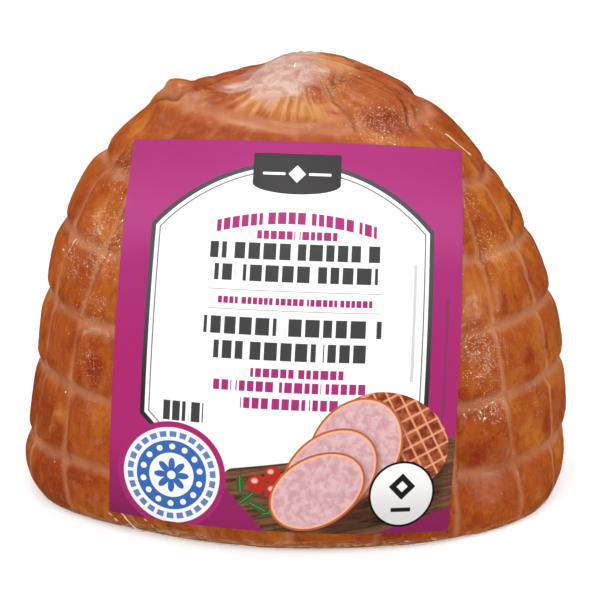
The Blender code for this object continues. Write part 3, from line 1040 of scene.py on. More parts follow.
def meat_material(meat):
    """Smoked meat: mottled amber and red-brown cells, pale net marks and a pale gathered crown."""
    material, tree = new_material("smoked_meat")
    here = object_place(tree)
    skin = attribute(tree, "skin_place")
    ring, line, dark_side = parts_of(attribute(tree, "net_marks"))
    crown, fold, cut_face = parts_of(attribute(tree, "zones"))
    cell_up, cell_tone, gather = parts_of(attribute(tree, "cell_tone"))
    yellow_place, whitish, red_place = parts_of(attribute(tree, "patches"))
    along = parts_of(skin)[2]

    broad = cloud(here, 62.0, 4.0, 0.62, 0.4) + (cell_tone - 0.5) * 0.14
    colour = blend(fade(broad, 0.36, 0.50), meat.deep_colour, meat.colour)
    colour = blend(fade(broad, 0.52, 0.70), colour, meat.amber_colour)
    mottle = cloud(vector_maths("ADD", here, (0.31, 0.12, 0.07)), 150.0, 3.0, 0.55, 0.8)
    low_in_cell = fade(cell_up, 0.75, 0.05) * 0.45 + 0.25
    colour = blend(fade(mottle, 0.48, 0.66) * low_in_cell, colour, meat.red_colour)
    blots = cloud(here, 380.0, 5.0, 0.68, 0.6)
    colour = speckled(colour, blots, (0.54, 0.72, 0.0, 0.42), (0.46, 0.30, 0.0, 0.55), meat)
    fibres = cloud(vector_maths("MULTIPLY", skin, (1.0, 1.0, 0.15)), 1150.0, 3.0, 0.6, 1.1)
    colour = speckled(colour, fibres, (0.52, 0.74, 0.0, 0.24), (0.48, 0.28, 0.0, 0.22), meat)

    torn = cloud(here, 260.0, 4.0, 0.62, 0.5) - 0.5
    colour = blend(fade(red_place + torn * 0.9, 0.12, 0.85, 0.0, 0.92), colour, meat.red_colour)
    freckles = cloud(here, 1500.0, 3.0, 0.65)
    colour = speckled(colour, freckles, (0.54, 0.72, 0.0, 0.34), (0.46, 0.30, 0.0, 0.42), meat)
    colour = blend(fade(yellow_place + torn * 1.2, 0.20, 1.0, 0.0, 0.80), colour, meat.yellow_colour)
    streaks = cloud(vector_maths("MULTIPLY", skin, (1.0, 1.0, 0.13)), 300.0, 3.0, 0.62, 0.4)
    near_crown = fade(along, 0.088, 0.103) * fade(yellow_place, 0.05, 0.75, 0.22, 1.0)
    colour = blend(fade(streaks, 0.46, 0.60) * near_crown, colour, meat.streak_colour)
    colour = blend(fade(streaks, 0.46, 0.34, 0.0, 0.55) * near_crown, colour, meat.deep_colour)

    pale = fade(ring * 0.90 + line * 0.78 + torn * 0.75, 0.12, 1.05)
    pale = pale * fade(cloud(here, 75.0, 2.0, 0.5), 0.34, 0.62, 0.50, 1.0)
    on_lobe = red_place * fade(along, 0.078, 0.086)
    pale = pale * fade(on_lobe, 0.05, 0.60, 1.0, 0.0)
    pale = greatest(pale, fade(whitish + torn, 0.25, 1.0, 0.0, 0.9)) * meat.mark_strength
    colour = blend(fade(along, 0.080, 0.096, 0.0, 0.30), colour, meat.deep_colour)
    colour = blend(pale, colour, meat.mark_colour)
    # Painted shade: a dark line along the shaded side of each net line
    painted_line_shade = dark_side * fade(cloud(here, 95.0, 2.0, 0.5), 0.46, 0.64, 0.04, 0.60)
    colour = blend(painted_line_shade * fade(gather, 0.75, 0.2), colour, meat.painted_crease_shade_colour)
    # Painted shade in the folds of the meat
    colour = blend(fade(fold, 0.45, 1.30, 0.0, 0.75), colour, meat.painted_crease_shade_colour)
    # Painted shade: near-black in the outer pocket, where the outer pocket patches go above 1
    painted_pocket_shade = fade(red_place + torn * 0.5, 1.02, 1.40, 0.0, 0.88)
    colour = blend(painted_pocket_shade, colour, darker(meat.vein_colour, 0.20))

    clouds, crown_colour = crown_colours(here, freckles, meat)
    in_crown = fade(crown + (clouds - 0.5) * 1.3, 0.02, 1.05, 0.0, 0.94)
    colour = blend(in_crown * fade(yellow_place, 0.35, 1.0, 1.0, 0.30), colour, crown_colour)
    colour = blend(fade(along, 0.0042, 0.0006) * 0.62, colour, meat.foot_colour)
    grain = cloud(here, 110.0, 5.0, 0.6, 1.4)
    lean = blend(fade(grain, 0.35, 0.68), meat.cut_colour, meat.cut_light_colour)
    colour = blend(cut_face, colour, lean)

    pores = cloud(here, 1900.0, 2.0, 0.6)
    shader = add_node(tree, "ShaderNodeBsdfPrincipled", {
        "Base Color": colour, "Roughness": fade(mottle, 0.30, 0.70, 0.40, 0.56), "Metallic": 0.0,
        "Normal": bumped(fibres * 0.5 + pores * 0.35 + mottle * 0.9, 0.55, 0.00028),
        "Subsurface Weight": 0.16, "Subsurface Radius": (1.0, 0.38, 0.20), "Subsurface Scale": 0.0022,
        "Specular IOR Level": 0.02,
    })
    use_shader(tree, shader)
    return material


def film_material(film, fine_creases):
    """Thin clear film: seen through but for its shine, its painted glints (small white dots, and white
    streaks along the pleats) and a little haze at the foot.
    """
    material, tree = new_material("clear_film")
    here = object_place(tree)
    pleat, glinting, foot = parts_of(attribute(tree, "film_zones"))
    waves = use_group(fine_creases, Place=here, Scale=210.0, Sharpness=2.2)
    creases = use_group(fine_creases, Place=here, Scale=760.0, Sharpness=5.0)
    # Painted glints: small white dots, laid in the glinting zones, that stand in for the film's glints
    scattered = {"Vector": here, "Scale": film.dot_density, "Randomness": 1.0}
    cells = add_node(tree, "ShaderNodeTexVoronoi", scattered)
    dot_chance = parts_of(Wire(tree, cells.outputs["Color"]))[0]
    zone = fade(glinting + (cloud(here, 300.0, 4.0, 0.66) - 0.5) * 0.8, -0.18, 0.90)
    dot_size = fade(zone - dot_chance, -0.45, 0.60, 0.0, 0.38)
    dots = fade(dot_size - Wire(tree, cells.outputs["Distance"]), 0.0, 0.17) * film.painted_glint_strength
    flattened = vector_maths("MULTIPLY", here, (1.0, 1.0, 2.6))
    streaks = use_group(fine_creases, Place=flattened, Scale=230.0, Sharpness=9.0)
    haze = fade(foot, 0.12, 0.85) * fade(streaks, 0.35, 0.95, 0.10, 0.75) * film.foot_haze
    # Painted glints: white streaks laid along the film's pleats
    painted_pleat_glints = fade(pleat, 0.55, 1.0) * fade(creases, 0.10, 0.55, 0.45, 1.0) * film.painted_pleat_glint_strength
    # white holds the painted glints, dots and pleat streaks, and the haze at the foot, laid on as diffuse
    # white
    white = greatest(greatest(dots, painted_pleat_glints), haze)
    normal = bumped(waves * 0.55 + creases * 0.22, film.crease_strength, 0.00022)
    shine = add_node(tree, "ShaderNodeBsdfPrincipled", {
        "Base Color": blend(fade(white, 0.0, 0.08), film.colour, film.painted_glint_and_haze_colour),
        "Metallic": fade(white, 0.08, 0.0), "Roughness": film.roughness, "Normal": normal,
    })
    clear = add_node(tree, "ShaderNodeBsdfTransparent", {"Color": (1.0, 1.0, 1.0)})
    edge = add_wire(tree, "ShaderNodeFresnel", {"IOR": film.ior, "Normal": normal})
    seen = maths("ADD", least(edge, film.strongest_shine), white, clamp=True)
    use_shader(tree, mix_shaders(tree, seen, clear, shine))
    return material


class Print:
    """Stamps shapes onto the label one over another. Places and sizes are millimetres on the label."""

    def __init__(self, place):
        self.place = place
        self.box_mark = box_mark_group()
        self.round_mark = round_mark_group()
        self.word_row = word_row_group(self.box_mark)
        self.colour = (1.0, 1.0, 1.0)

    def lay(self, mask, colour, strength=1.0):
        if strength != 1.0:
            mask = mask * strength
        self.colour = blend(mask, self.colour, colour)

    def box(self, middle, half, colour, turn=0.0, corner=0.0, softness=0.06, strength=1.0):
        mask = use_group(
            self.box_mark, Place=self.place, Middle=(*middle, 0.0), Half_Size=(*half, 0.0),
            Turn=math.radians(turn), Corner=corner, Softness=softness,
        )
        self.lay(mask, colour, strength)

    def disc(self, middle, radii, colour, turn=0.0, softness=0.06, strength=1.0):
        mask = use_group(
            self.round_mark, Place=self.place, Middle=(*middle, 0.0), Radii=(*radii, 1.0),
            Turn=math.radians(turn), Softness=softness,
        )
        self.lay(mask, colour, strength)
        return mask

    def words(self, left, right, foot, top, colour, block, word, start, bend=0.0):
        mask = use_group(
            self.word_row, Place=self.place, Middle=((left + right) / 2.0, (foot + top) / 2.0, 0.0),
            Half_Size=((right - left) / 2.0, (top - foot) / 2.0, 0.0),
            Bend=bend, Block_Width=block, Word_Width=word, Start=start,
        )
        self.lay(mask, colour)


def print_field(sheet, label):
    """The magenta field, lighter in a band below the top and darker at the foot, then the arched panel. The
    lighter band is a painted sheen, the darker foot is partly print and partly painted shade, and the panel's
    white is painted a little darker towards the foot.
    """
    across, up, _ = parts_of(sheet.place)
    stops = [(height, getattr(label, name)) for height, name in FIELD_STOPS]
    sheet.colour = stops[0][1]
    for (above, _), (below, tone) in zip(stops, stops[1:]):
        sheet.lay(fade(up, above, below), tone)
    # Partly print and partly painted shade: the field darker still at the lower right
    low_right = fade(up, -26.0, -38.0) * fade(across, 0.0, 34.0, 0.0, 0.55)
    sheet.lay(low_right, darker(label.field_foot_colour, 0.62))
    depth = use_group(panel_depth_group(), Place=sheet.place)
    band = blend(fade(up, 12.0, -16.0), label.band_colour, label.band_low_colour)
    sheet.lay(fade(depth, -0.06, 0.06), band)
    # Painted shade: the panel's white a little darker towards the foot
    white = blend(fade(up, -12.0, -26.0), label.white_colour, darker(label.white_colour, 0.93))
    sheet.lay(fade(depth, 0.87, 0.99), white)
    sheet.lay(fade(depth, 1.60, 1.70) * fade(depth, 1.98, 1.88), label.band_low_colour, 0.85)


def print_words(sheet, label):
    """Plain blocks where the rows of words stand, a plain dark tab at the top, and thin rules."""
    sheet.box((0.3, 33.4), (9.0, 3.1), label.tab_colour)
    sheet.disc((0.3, 30.4), (9.0, 2.1), label.tab_colour)
    sheet.box((0.3, 32.4), (1.25, 1.25), label.white_colour, turn=45.0)
    for across in (-4.4, 5.0):
        sheet.box((across, 32.4), (2.3, 0.26), label.white_colour, corner=0.2)
    for left, right, foot, top, ink, *spacing in WORD_ROWS:
        sheet.words(left, right, foot, top, getattr(label, ink), *spacing)
    for up in (8.9, 5.0):
        sheet.box((1.1, up), (17.2, 0.07), label.ink_colour, strength=0.8)
    for across, low, high in ((24.95, -8.5, 15.0), (31.6, -16.0, 8.0)):
        half = (0.32, (high - low) / 2.0)
        sheet.box((across, (low + high) / 2.0), half, label.ink_colour, strength=0.42, softness=0.15)


def print_board(sheet, label):
    """The board of the picture, cut off where the field goes on, with berries and leaves on it."""
    stretched = vector_maths("MULTIPLY", turned(sheet.place, math.radians(-11.0)), (0.10, 1.0, 1.0))
    grain = fade(cloud(stretched, 1.1, 4.0, 0.6, 0.4), 0.32, 0.66)
    edge = blend(grain, darker(label.board_dark_colour, 0.55), label.board_edge_colour)
    wood = blend(grain, label.board_dark_colour, label.board_colour)
    sheet.box((17.0, -33.2), (28.6, 8.6), edge, turn=9.0, corner=2.2)
    sheet.box((17.4, -30.8), (28.2, 8.2), wood, turn=9.0, corner=2.2)
    sheet.box((-12.9, -43.1), (10.0, 10.0), label.field_low_colour, turn=45.0, softness=0.1)
    sheet.box((28.4, -46.6), (22.0, 10.0), label.field_foot_colour, turn=18.0, softness=0.1)
    for across, up, radius in BERRIES:
        sheet.disc((across, up), (radius, radius), BERRY_COLOUR)
        shine = (radius * 0.32, radius * 0.26)
        sheet.disc((across - 0.5, up + 0.6), shine, BERRY_SHINE, softness=0.3, strength=0.8)
    for across, up, turn in LEAVES:
        sheet.disc((across, up), (2.1, 0.72), LEAF_COLOUR, turn=turn)
        sheet.box((across, up), (1.7, 0.06), LEAF_VEIN, turn=turn)


def print_roast(sheet, label):
    """The netted roast of the picture and its slices: ovals in flat colours with a little grain."""
    sheet.disc((16.5, -30.0), (17.0, 8.6), SHADOW_COLOUR, turn=9.0, softness=1.6, strength=0.6)
    mottle = fade(cloud(sheet.place, 0.55, 3.0, 0.6), 0.4, 0.65)
    rind = blend(mottle, label.rind_dark_colour, label.rind_colour)
    roast = sheet.disc((21.6, -20.4), (12.0, 9.4), rind, turn=-24.0)
    net_across, net_up, _ = parts_of(turned(sheet.place, math.radians(-28.0)))
    for number, spacing in ((net_across, 2.3), (net_up, 2.7)):
        wave = abs(maths("FRACT", number / spacing) - 0.5)
        sheet.lay(fade(wave, 0.13, 0.04) * roast, PICTURE_NET_COLOUR, 0.75)
    mottle = fade(cloud(sheet.place, 0.62, 4.0, 0.6, 0.5), 0.36, 0.64)
    pink = blend(mottle, label.slice_colour, label.slice_light_colour)
    layers = ((0.55, label.rind_colour, 0.06), (0.12, SLICE_RIM, 0.14), (-0.25, pink, 0.25))
    for across, up, long, short, turn in SLICES:
        below = (across + 0.7, up - 0.5)
        sheet.disc(below, (long + 0.5, short + 0.5), SLICE_SHADOW, turn=turn, softness=0.9, strength=0.6)
        for wider, colour, softness in layers:
            sheet.disc((across, up), (long + wider, short + wider), colour, turn=turn, softness=softness)


def print_badges(sheet, label):
    """A round badge with a plain rosette at the lower left, and a small grey disc at the lower right."""
    middle = ROSETTE_MIDDLE
    pale = darker(label.white_colour, 0.90)
    sheet.disc(middle, (10.9, 10.9), label.field_colour)
    sheet.disc(middle, (9.7, 9.7), pale)
    moved = vector_maths("SUBTRACT", sheet.place, (*middle, 0.0))
    across, up, _ = parts_of(moved)
    turn = maths("ARCTAN2", up, across)
    away = length_of(vector_maths("MULTIPLY", moved, (1.0, 1.0, 0.0)))
    share = maths("FRACT", turn * (ROSETTE_DASHES / (2.0 * math.pi)))
    dash = fade(share, 0.10, 0.16) * fade(share, 0.84, 0.78)
    sheet.lay(dash * (fade(away, 7.72, 7.82) * fade(away, 8.98, 8.88)), label.badge_colour, 0.9)
    sheet.disc(middle, (7.05, 7.05), label.badge_colour)
    sheet.disc(middle, (4.5, 4.5), pale)
    dots = maths("FRACT", turn * (ROSETTE_DOTS / (2.0 * math.pi)))
    near_dot = (dots - 0.5) * (2.0 * math.pi * ROSETTE_DOT_RADIUS / ROSETTE_DOTS)
    from_dot = maths("SQRT", squared(near_dot) + squared(away - ROSETTE_DOT_RADIUS))
    sheet.lay(fade(from_dot, 0.66, 0.54), pale)
    petals = abs(maths("COSINE", turn * 4.0)) * 2.0 + 1.5
    sheet.lay(fade(away - petals, 0.08, -0.08), label.badge_colour)
    sheet.disc(middle, (0.85, 0.85), pale)

    up = parts_of(sheet.place)[1]
    grey = blend(fade(up, -36.0, -26.0), (0.60, 0.60, 0.60), (0.84, 0.84, 0.84))
    sheet.disc((24.4, -31.1), (6.65, 6.65), (0.006, 0.006, 0.006))
    sheet.disc((24.4, -31.1), (6.2, 6.2), grey)
    sheet.box((24.4, -29.6), (1.9, 1.9), BADGE_BLACK, turn=45.0)
    sheet.box((24.4, -29.6), (0.8, 0.8), grey, turn=45.0)
    sheet.box((24.4, -34.3), (2.0, 0.42), BADGE_BLACK, corner=0.2)


def label_material(label, fine_creases):
    """Satin printed paper. The print is laid out in millimetres on the label's own face."""
    material, tree = new_material("printed_label")
    here = object_place(tree)
    sheet = Print(attribute(tree, "print_place"))
    for print_step in (print_field, print_words, print_board, print_roast, print_badges):
        print_step(sheet, label)
    tooth = cloud(here, 5200.0, 2.0, 0.6)
    creases = use_group(fine_creases, Place=here, Scale=95.0, Sharpness=2.0)
    shader = add_node(tree, "ShaderNodeBsdfPrincipled", {
        "Base Color": sheet.colour, "Metallic": 0.0, "Specular IOR Level": 0.14,
        "Roughness": fade(tooth, 0.3, 0.7, label.roughness - 0.04, label.roughness + 0.04),
        "Normal": bumped(tooth * 0.06 + creases * 0.5, 0.22, 0.0002),
    })
    use_shader(tree, shader)
    return material


def colour_property(name, description, default):
    return FloatVectorProperty(
        name=name, description=description, default=default, size=3, min=0.0, max=1.0, subtype="COLOR",
    )


def length_property(name, description, default):
    return FloatProperty(
        name=name, description=description, default=default, min=0.0, precision=5, unit="LENGTH",
    )


def share_property(name, description, default, top=1.0):
    return FloatProperty(name=name, description=description, default=default, min=0.0, max=top)


def power_property(name, description, default):
    return FloatProperty(name=name, description=description, default=default, min=0.0, unit="POWER")


class MeatLooks(bpy.types.PropertyGroup):
    """Relief and colours of the meat."""

    cell_bulge: length_property("Cell Bulge", "How far the meat swells between the net marks", 0.0005)
    ring_mark_depth: length_property("Ring Mark Depth", "Depth of the marks that run round the ham", 0.0009)
    line_mark_depth: length_property("Line Mark Depth", "Depth of the marks that run up the ham", 0.00042)
    lump_height: length_property("Lump Height", "Height of the uneven lumps of the surface", 0.00024)
    gather_fold_height: length_property("Gather Fold Height", "Height of the gathered folds", 0.0008)
    mark_strength: share_property("Mark Strength", "How strongly the net marks pale the meat", 0.80)
    colour: colour_property("Meat", "Main colour of the smoked surface", (0.352, 0.072, 0.0085))
    deep_colour: colour_property("Deep Meat", "Darker smoked patches", (0.262, 0.040, 0.0050))
    amber_colour: colour_property("Amber Meat", "Lighter amber patches", (0.462, 0.140, 0.0150))
    red_colour: colour_property("Red Meat", "Red-brown patches low in the cells", (0.218, 0.0200, 0.0040))
    yellow_colour: colour_property("Yellow Meat", "Yellow patches of fat", (0.560, 0.235, 0.050))
    mark_colour: colour_property("Net Marks", "Pale marks of the net", (0.500, 0.205, 0.104))
    # Painted shade: the colour laid in the folds and along the shaded side of the net lines
    painted_crease_shade_colour: colour_property("Creases", "Dark folds and dark sides of marks", (0.125, 0.018, 0.0045))
    streak_colour: colour_property("Streaks", "Pale streaks below the crown", (0.620, 0.340, 0.145))
    crown_colour: colour_property("Crown", "Pink of the gathered crown", (0.45, 0.252, 0.212))
    crown_light_colour: colour_property("Light Crown", "Palest parts of the crown", (0.61, 0.425, 0.375))
    vein_colour: colour_property("Crown Veins", "Grey-brown veins of the crown", (0.27, 0.150, 0.125))
    foot_colour: colour_property("Foot", "Band at the cut edge", (0.268, 0.138, 0.072))
    cut_colour: colour_property("Cut Face", "Lean meat of the cut face", (0.62, 0.220, 0.170))
    cut_light_colour: colour_property("Light Cut Face", "Paler grain of the cut face", (0.76, 0.370, 0.300))


class FilmLooks(bpy.types.PropertyGroup):
    """The clear film."""

    clearance: length_property("Clearance", "Least gap between the meat and the film", 0.00016)
    ior: FloatProperty(name="IOR", description="Sets the shine", default=1.42, min=1.0, max=2.0)
    strongest_shine: share_property("Strongest Shine", "Most that the film hides at its silhouette", 0.038)
    roughness: share_property("Roughness", "Roughness of the film", 0.10)
    crease_strength: share_property("Crease Strength", "Strength of the fine creases", 0.75)
    # Dot Density and Dot Strength set the small white dots, which are painted glints
    dot_density: FloatProperty(name="Dot Density", description="Wet dots in a metre", default=2450.0, min=1.0)
    painted_glint_strength: share_property("Dot Strength", "How strongly the small wet dots show", 0.70)
    # Pleat Strength sets the white streaks on the pleats, which are painted glints
    painted_pleat_glint_strength: share_property("Pleat Strength", "How strongly the pleats at the foot show", 0.85)
    foot_haze: share_property("Foot Haze", "How strongly the film greys at the foot", 0.32)
    colour: colour_property("Film", "Tint of the film's shine", (0.94, 0.82, 0.62))
    # Colour of the painted glints, dots and pleat streaks, and of the haze at the foot
    painted_glint_and_haze_colour: colour_property("Dots", "Colour of wet dots, pleats and haze", (0.95, 0.73, 0.45))


class LabelLooks(bpy.types.PropertyGroup):
    """The printed label."""

    lift: length_property("Lift", "Height of the label above the smooth form", 0.00078)
    thickness: length_property("Thickness", "Thickness of the label", 0.00020)
    roughness: share_property("Roughness", "Roughness of the print", 0.42)
    field_top_colour: colour_property("Field Top", "Magenta at the top", (0.335, 0.021, 0.152))
    # Field Light is a painted sheen; Field Low and Field Foot are partly print and partly painted shade
    field_painted_sheen_colour: colour_property("Field Light", "Lighter band of the magenta", (0.382, 0.040, 0.190))
    field_colour: colour_property("Field", "Main magenta", (0.358, 0.015, 0.138))
    field_low_colour: colour_property("Field Low", "Magenta near the foot", (0.262, 0.011, 0.104))
    field_foot_colour: colour_property("Field Foot", "Magenta at the foot", (0.210, 0.010, 0.081))
    white_colour: colour_property("Panel", "White of the panel", (0.93, 0.93, 0.93))
    band_colour: colour_property("Band", "Grey band round the panel", (0.066, 0.075, 0.080))
    band_low_colour: colour_property("Low Band", "Grey band at its foot", (0.024, 0.026, 0.027))
    tab_colour: colour_property("Tab", "Plain tab at the top", (0.037, 0.035, 0.036))
    ink_colour: colour_property("Dark Ink", "Dark blocks", (0.050, 0.050, 0.052))
    word_colour: colour_property("Magenta Ink", "Magenta blocks", (0.368, 0.024, 0.160))
    badge_colour: colour_property("Badge", "Blue of the badge", (0.030, 0.126, 0.412))
    board_colour: colour_property("Board", "Board of the picture", (0.200, 0.088, 0.040))
    board_dark_colour: colour_property("Dark Board", "Dark grain of the board", (0.048, 0.018, 0.008))
    board_edge_colour: colour_property("Board Edge", "Edge of the board", (0.146, 0.066, 0.039))
    rind_colour: colour_property("Rind", "Rind in the picture", (0.416, 0.104, 0.036))
    rind_dark_colour: colour_property("Dark Rind", "Dark rind in the picture", (0.200, 0.028, 0.010))
    slice_colour: colour_property("Slice", "Sliced meat in the picture", (0.560, 0.296, 0.320))
    slice_light_colour: colour_property("Light Slice", "Pale sliced meat", (0.664, 0.432, 0.456))


class StageLooks(bpy.types.PropertyGroup):
    """Floor and lights."""

    floor_colour: colour_property("Floor", "Pale floor", (0.46, 0.46, 0.46))
    floor_glow: share_property("Floor Glow", "Light of the floor's own, which keeps the shadow pale", 0.54)
    sky_strength: share_property("Sky Strength", "Soft light from all round", 0.78, 5.0)
    shine_strength: share_property("Shine Strength", "Brightness overhead that shines on the film", 0.85, 5.0)
    key_power: power_property("Key Power", "Power of the large soft light", 8.5)
    glint_power: power_property("Glint Power", "Power of each small light", 2.2)

def meat_place(spot, layers, share):
    """Where the meat's surface lies. A share below 1 is a place of the cut face, nearer to its middle."""
    edge = spot.point(layers.meat_out)
    if share == 1.0:
        return Vector((edge.x, edge.y, max(edge.z, CUT_FACE_LIFT)))
    grain = noise.noise(Vector((edge.x, edge.y, 0.0)) * share * CUT_GRAIN_SCALE)
    return Vector((edge.x * share, edge.y * share, CUT_FACE_LIFT + CUT_GRAIN_HEIGHT * grain))


def skin_values(spot, layers, share):
    """What the materials are told of a place: a vector for each attribute's name."""
    net = layers.net
    fading = net["gathered"] * (1.0 - layers.crown)
    film = spot.point(layers.film_out)
    return {
        "net_marks": (net["ring"], net["line"] * fading, net["dark_side"] * fading),
        "zones": (layers.crown, layers.fold / FOLD_FULL, smooth_step(*CUT_FACE_FROM, share)),
        "skin_place": (EDGE_RADIUS * math.sin(spot.angle), EDGE_RADIUS * math.cos(spot.angle), spot.along),
        "cell_tone": (net["up"], 0.5 + 0.5 * math.sin(5.3 * net["number"]), 1.0 - net["gathered"]),
        "patches": [patch_share(spot, group) for group in (YELLOW_PATCHES, PALE_PATCHES, RED_PATCHES)],
        "film_place": (film.x * share, film.y * share, 0.0 if share < 1.0 else max(film.z, 0.0)),
        "film_zones": (
            layers.pleat / PLEAT_FULL, patch_share(spot, PAINTED_GLINT_PATCHES),
            smooth_step(FOOT_HAZE_FROM, 0.0, spot.along),
        ),
    }


class HAM_OT_meat(bpy.types.Operator):
    """Model the smoked meat under the film"""

    bl_idname = "ham.meat"
    bl_label = "Smoked Meat"

    def execute(self, context):
        meat, film = context.scene.ham_meat, context.scene.ham_film
        rings = SKIN_ROWS + CUT_FACE_ROWS
        ball = skin_ball("ham_meat", NET_LINES * STEPS_PER_CELL, rings)
        values = {name: [] for name in MEAT_ATTRIBUTES + FILM_ATTRIBUTES}
        for vertex, spot, layers, share in all_layers(ball, rings, meat, film):
            vertex.co = meat_place(spot, layers, share)
            for name, value in skin_values(spot, layers, share).items():
                values[name].append(value)
        for name, vectors in values.items():
            new_attribute(ball.data, name, vectors)
        finish_mesh(ball, meat_material(meat))
        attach(ball, "root")
        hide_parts("packed_ham")
        return {"FINISHED"}


class HAM_OT_film(bpy.types.Operator):
    """Model the clear film that clings to the meat"""

    bl_idname = "ham.film"
    bl_label = "Clear Film"

    def execute(self, context):
        meat_piece = bpy.data.objects["ham_meat"]
        bpy.ops.object.select_all(action="DESELECT")
        meat_piece.select_set(True)
        context.view_layer.objects.active = meat_piece
        bpy.ops.object.duplicate()
        piece = context.object
        piece.name = "clear_film"
        piece.data.name = "clear_film"
        for vertex, place in zip(piece.data.vertices, piece.data.attributes["film_place"].data):
            vertex.co = place.vector
        remove_attributes(piece.data, (*MEAT_ATTRIBUTES, "film_place"))
        remove_attributes(meat_piece.data, FILM_ATTRIBUTES)
        finish_mesh(piece, film_material(context.scene.ham_film, fine_creases_group()))
        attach(piece, "root")
        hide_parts("packed_ham")
        return {"FINISHED"}


def label_guide(lift):
    """The smooth form at a lift, which the label is laid on."""
    rings = GUIDE_ROWS + 1
    guide = skin_ball("label_guide", GUIDE_STEPS, rings)
    for vertex, row, angle in ball_places(guide, rings):
        along = SKIN_LENGTH * max(0.0, 1.0 - row / GUIDE_ROWS)
        vertex.co = Vector((0.0, 0.0, 0.0)) if row == rings else SkinSpot(angle, along, False).point(lift)
    return guide


class HAM_OT_label(bpy.types.Operator):
    """Lay the printed label on the front of the ham"""

    bl_idname = "ham.label"
    bl_label = "Printed Label"

    def execute(self, context):
        label = context.scene.ham_label
        guide = label_guide(label.lift)
        bpy.ops.object.select_all(action="DESELECT")
        bpy.ops.mesh.primitive_grid_add(x_subdivisions=LABEL_COLUMNS, y_subdivisions=LABEL_ROWS, size=2.0)
        sheet = context.object
        sheet.name = "printed_label"
        sheet.data.name = "printed_label"
        printed = []
        for vertex in sheet.data.vertices:
            across, up = vertex.co.x, vertex.co.y
            printed.append((across * LABEL_HALF_WIDTH_MM, up * LABEL_HALF_HEIGHT_MM, 0.0))
            vertex.co.xy = label_place(across, up)
        new_attribute(sheet.data, "print_place", printed)
        leant_back = Matrix.Rotation(math.pi / 2.0 - LABEL_TILT_BACK, 4, "X")
        sheet.matrix_world = leant_back @ Matrix.Translation((0.0, 0.0, CLEAR_OF_HAM))
        context.view_layer.update()
        wrap = sheet.modifiers.new("lay_on_ham", "SHRINKWRAP")
        wrap.target = guide
        wrap.wrap_method = "PROJECT"
        wrap.use_project_z = True
        wrap.use_negative_direction = True
        wrap.use_positive_direction = False
        bpy.ops.object.modifier_apply(modifier=wrap.name)
        bpy.ops.object.transform_apply(location=True, rotation=True, scale=True)
        paper = sheet.modifiers.new("paper", "SOLIDIFY")
        paper.thickness = label.thickness
        paper.offset = 1.0
        paper.use_even_offset = True
        bpy.ops.object.modifier_apply(modifier=paper.name)
        bpy.data.objects.remove(guide)
        finish_mesh(sheet, label_material(label, bpy.data.node_groups["fine_creases"]), PAPER_EDGE_ANGLE)
        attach(sheet, "root")
        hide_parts("label")
        return {"FINISHED"}


def floor_material(looks):
    """A pale floor with a little light of its own, which shows dark in the film's shine."""
    material, tree = new_material("pale_floor")
    floor = add_node(tree, "ShaderNodeBsdfPrincipled", {
        "Base Color": looks.floor_colour, "Specular IOR Level": 0.1,
        "Roughness": fade(cloud(object_place(tree), 9.0), 0.3, 0.7, 0.60, 0.72),
        "Emission Color": (1.0, 1.0, 1.0), "Emission Strength": looks.floor_glow,
    })
    dim = add_node(tree, "ShaderNodeBsdfDiffuse", {"Color": darker(looks.floor_colour, 0.10)})
    path = add_node(tree, "ShaderNodeLightPath")
    use_shader(tree, mix_shaders(tree, path.outputs["Is Glossy Ray"], floor, dim))
    return material


def studio_world(looks):
    """White to the camera, soft light from all round, and bright overhead in the film's shine."""
    world = bpy.data.worlds.new("soft_studio")
    world.use_nodes = True
    tree = world.node_tree
    tree.nodes.clear()
    upward = parts_of(add_wire(tree, "ShaderNodeTexCoord", output="Generated"))[2]
    strength = fade(upward, -0.2, 0.9, looks.sky_strength * 0.30, looks.sky_strength * 1.60)
    overhead = fade(upward, 0.15, 0.90, 0.03, looks.shine_strength)
    lighting = add_node(tree, "ShaderNodeBackground", {"Color": (1.0, 0.985, 0.96), "Strength": strength})
    reflected = add_node(tree, "ShaderNodeBackground", {"Color": (1.0, 1.0, 1.0), "Strength": overhead})
    shown = add_node(tree, "ShaderNodeBackground", {"Color": (1.0, 1.0, 1.0), "Strength": 1.0})
    path = add_node(tree, "ShaderNodeLightPath")
    for_gloss = mix_shaders(tree, path.outputs["Is Glossy Ray"], lighting, reflected)
    seen = mix_shaders(tree, path.outputs["Is Camera Ray"], for_gloss, shown)
    use_shader(tree, seen, "ShaderNodeOutputWorld")
    return world


def aim(thing, target):
    """Turns a light or the camera, whose own -Z looks forward, towards a point."""
    thing.rotation_euler = (target - thing.location).to_track_quat("-Z", "Y").to_euler()


def soft_light(name, place, size, power):
    """A square soft light that the camera doesn't see, aimed at the middle of the ham."""
    bpy.ops.object.light_add(type="AREA", location=place)
    light = bpy.context.object
    light.name = name
    light.data.shape = "SQUARE"
    light.data.size = size
    light.data.energy = power
    light.visible_camera = False
    aim(light, HAM_MIDDLE)


def studio_lights(looks):
    """One large soft light above the camera, and small ones round about that glint on the film."""
    soft_light("key_light", KEY_LIGHT_PLACE, KEY_LIGHT_SIZE, looks.key_power)
    for name, azimuth, elevation in SMALL_LIGHTS:
        turn, rise = math.radians(azimuth), math.radians(elevation)
        level = math.cos(rise) * SMALL_LIGHT_DISTANCE
        up = math.sin(rise) * SMALL_LIGHT_DISTANCE
        away = Vector((math.sin(turn) * level, -math.cos(turn) * level, up))
        soft_light(name, HAM_MIDDLE + away, SMALL_LIGHT_SIZE, looks.glint_power)


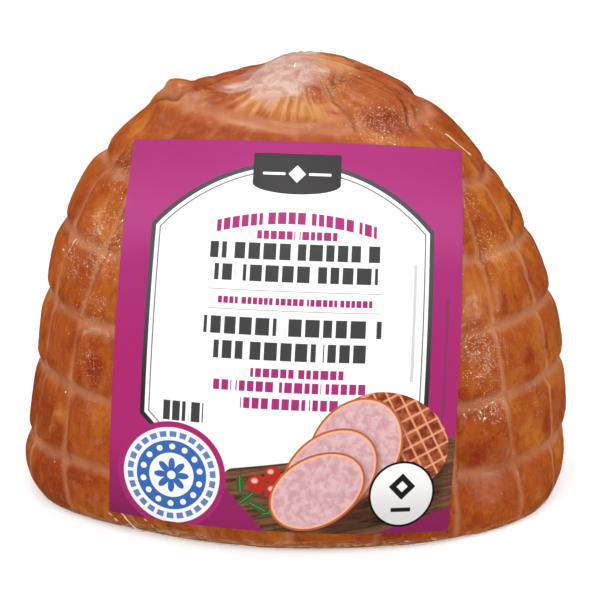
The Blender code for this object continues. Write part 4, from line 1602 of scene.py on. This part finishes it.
def photo_camera():
    """A camera at the photograph's angle, that shows the ham in the photograph's size and place."""
    back = Vector((0.0, -math.cos(CAMERA_ELEVATION), math.sin(CAMERA_ELEVATION)))
    upright = Vector((0.0, math.sin(CAMERA_ELEVATION), math.cos(CAMERA_ELEVATION)))
    metre = PIXELS_PER_METRE / CAMERA_DISTANCE
    target = upright * (AIM_UP_PIXELS / metre) - Vector((AIM_LEFT_PIXELS / metre, 0.0, 0.0))
    bpy.ops.object.camera_add(location=target + back * CAMERA_DISTANCE)
    camera = bpy.context.object
    camera.name = "photo_camera"
    camera.data.sensor_width = SENSOR_WIDTH
    camera.data.lens = SENSOR_WIDTH * metre / PICTURE_WIDTH
    camera.data.clip_end = FARTHEST_SEEN
    aim(camera, target)
    return camera


class HAM_OT_stage(bpy.types.Operator):
    """Set the pale floor, the soft lights and the camera at the photograph's angle"""

    bl_idname = "ham.stage"
    bl_label = "Floor, Lights and Camera"

    def execute(self, context):
        scene = context.scene
        looks = scene.ham_stage
        bpy.ops.object.select_all(action="DESELECT")
        bpy.ops.mesh.primitive_plane_add(size=FLOOR_SIZE, location=(0.0, 0.0, FLOOR_LEVEL))
        floor = context.object
        floor.name = "floor"
        floor.data.materials.append(floor_material(looks))
        scene.world = studio_world(looks)
        studio_lights(looks)
        scene.camera = photo_camera()
        scene.view_settings.view_transform = "Standard"
        scene.view_settings.look = "None"
        return {"FINISHED"}


class HAM_PT_panel(bpy.types.Panel):
    """Buttons that make the ham, its film, its label and the stage"""

    bl_idname = "HAM_PT_panel"
    bl_label = "Smoked Ham"
    bl_space_type = "VIEW_3D"
    bl_region_type = "UI"
    bl_category = "Smoked Ham"

    def draw(self, context):
        scene = context.scene
        for settings, operator in (
            (scene.ham_meat, "ham.meat"), (scene.ham_film, "ham.film"),
            (scene.ham_label, "ham.label"), (scene.ham_stage, "ham.stage"),
        ):
            box = self.layout.box()
            box.operator(operator)
            for name in settings.__annotations__:
                box.prop(settings, name)


SETTINGS = {"ham_meat": MeatLooks, "ham_film": FilmLooks, "ham_label": LabelLooks, "ham_stage": StageLooks}
CLASSES = (*SETTINGS.values(), HAM_OT_meat, HAM_OT_film, HAM_OT_label, HAM_OT_stage, HAM_PT_panel)


def register():
    for made in CLASSES:
        bpy.utils.register_class(made)
    for name, group in SETTINGS.items():
        setattr(bpy.types.Scene, name, PointerProperty(type=group))


def unregister():
    for name in SETTINGS:
        delattr(bpy.types.Scene, name)
    for made in reversed(CLASSES):
        bpy.utils.unregister_class(made)


def main():
    register()
    bpy.ops.ham.meat()
    bpy.ops.ham.film()
    bpy.ops.ham.label()
    bpy.ops.ham.stage()


if __name__ == "__main__":
    main()
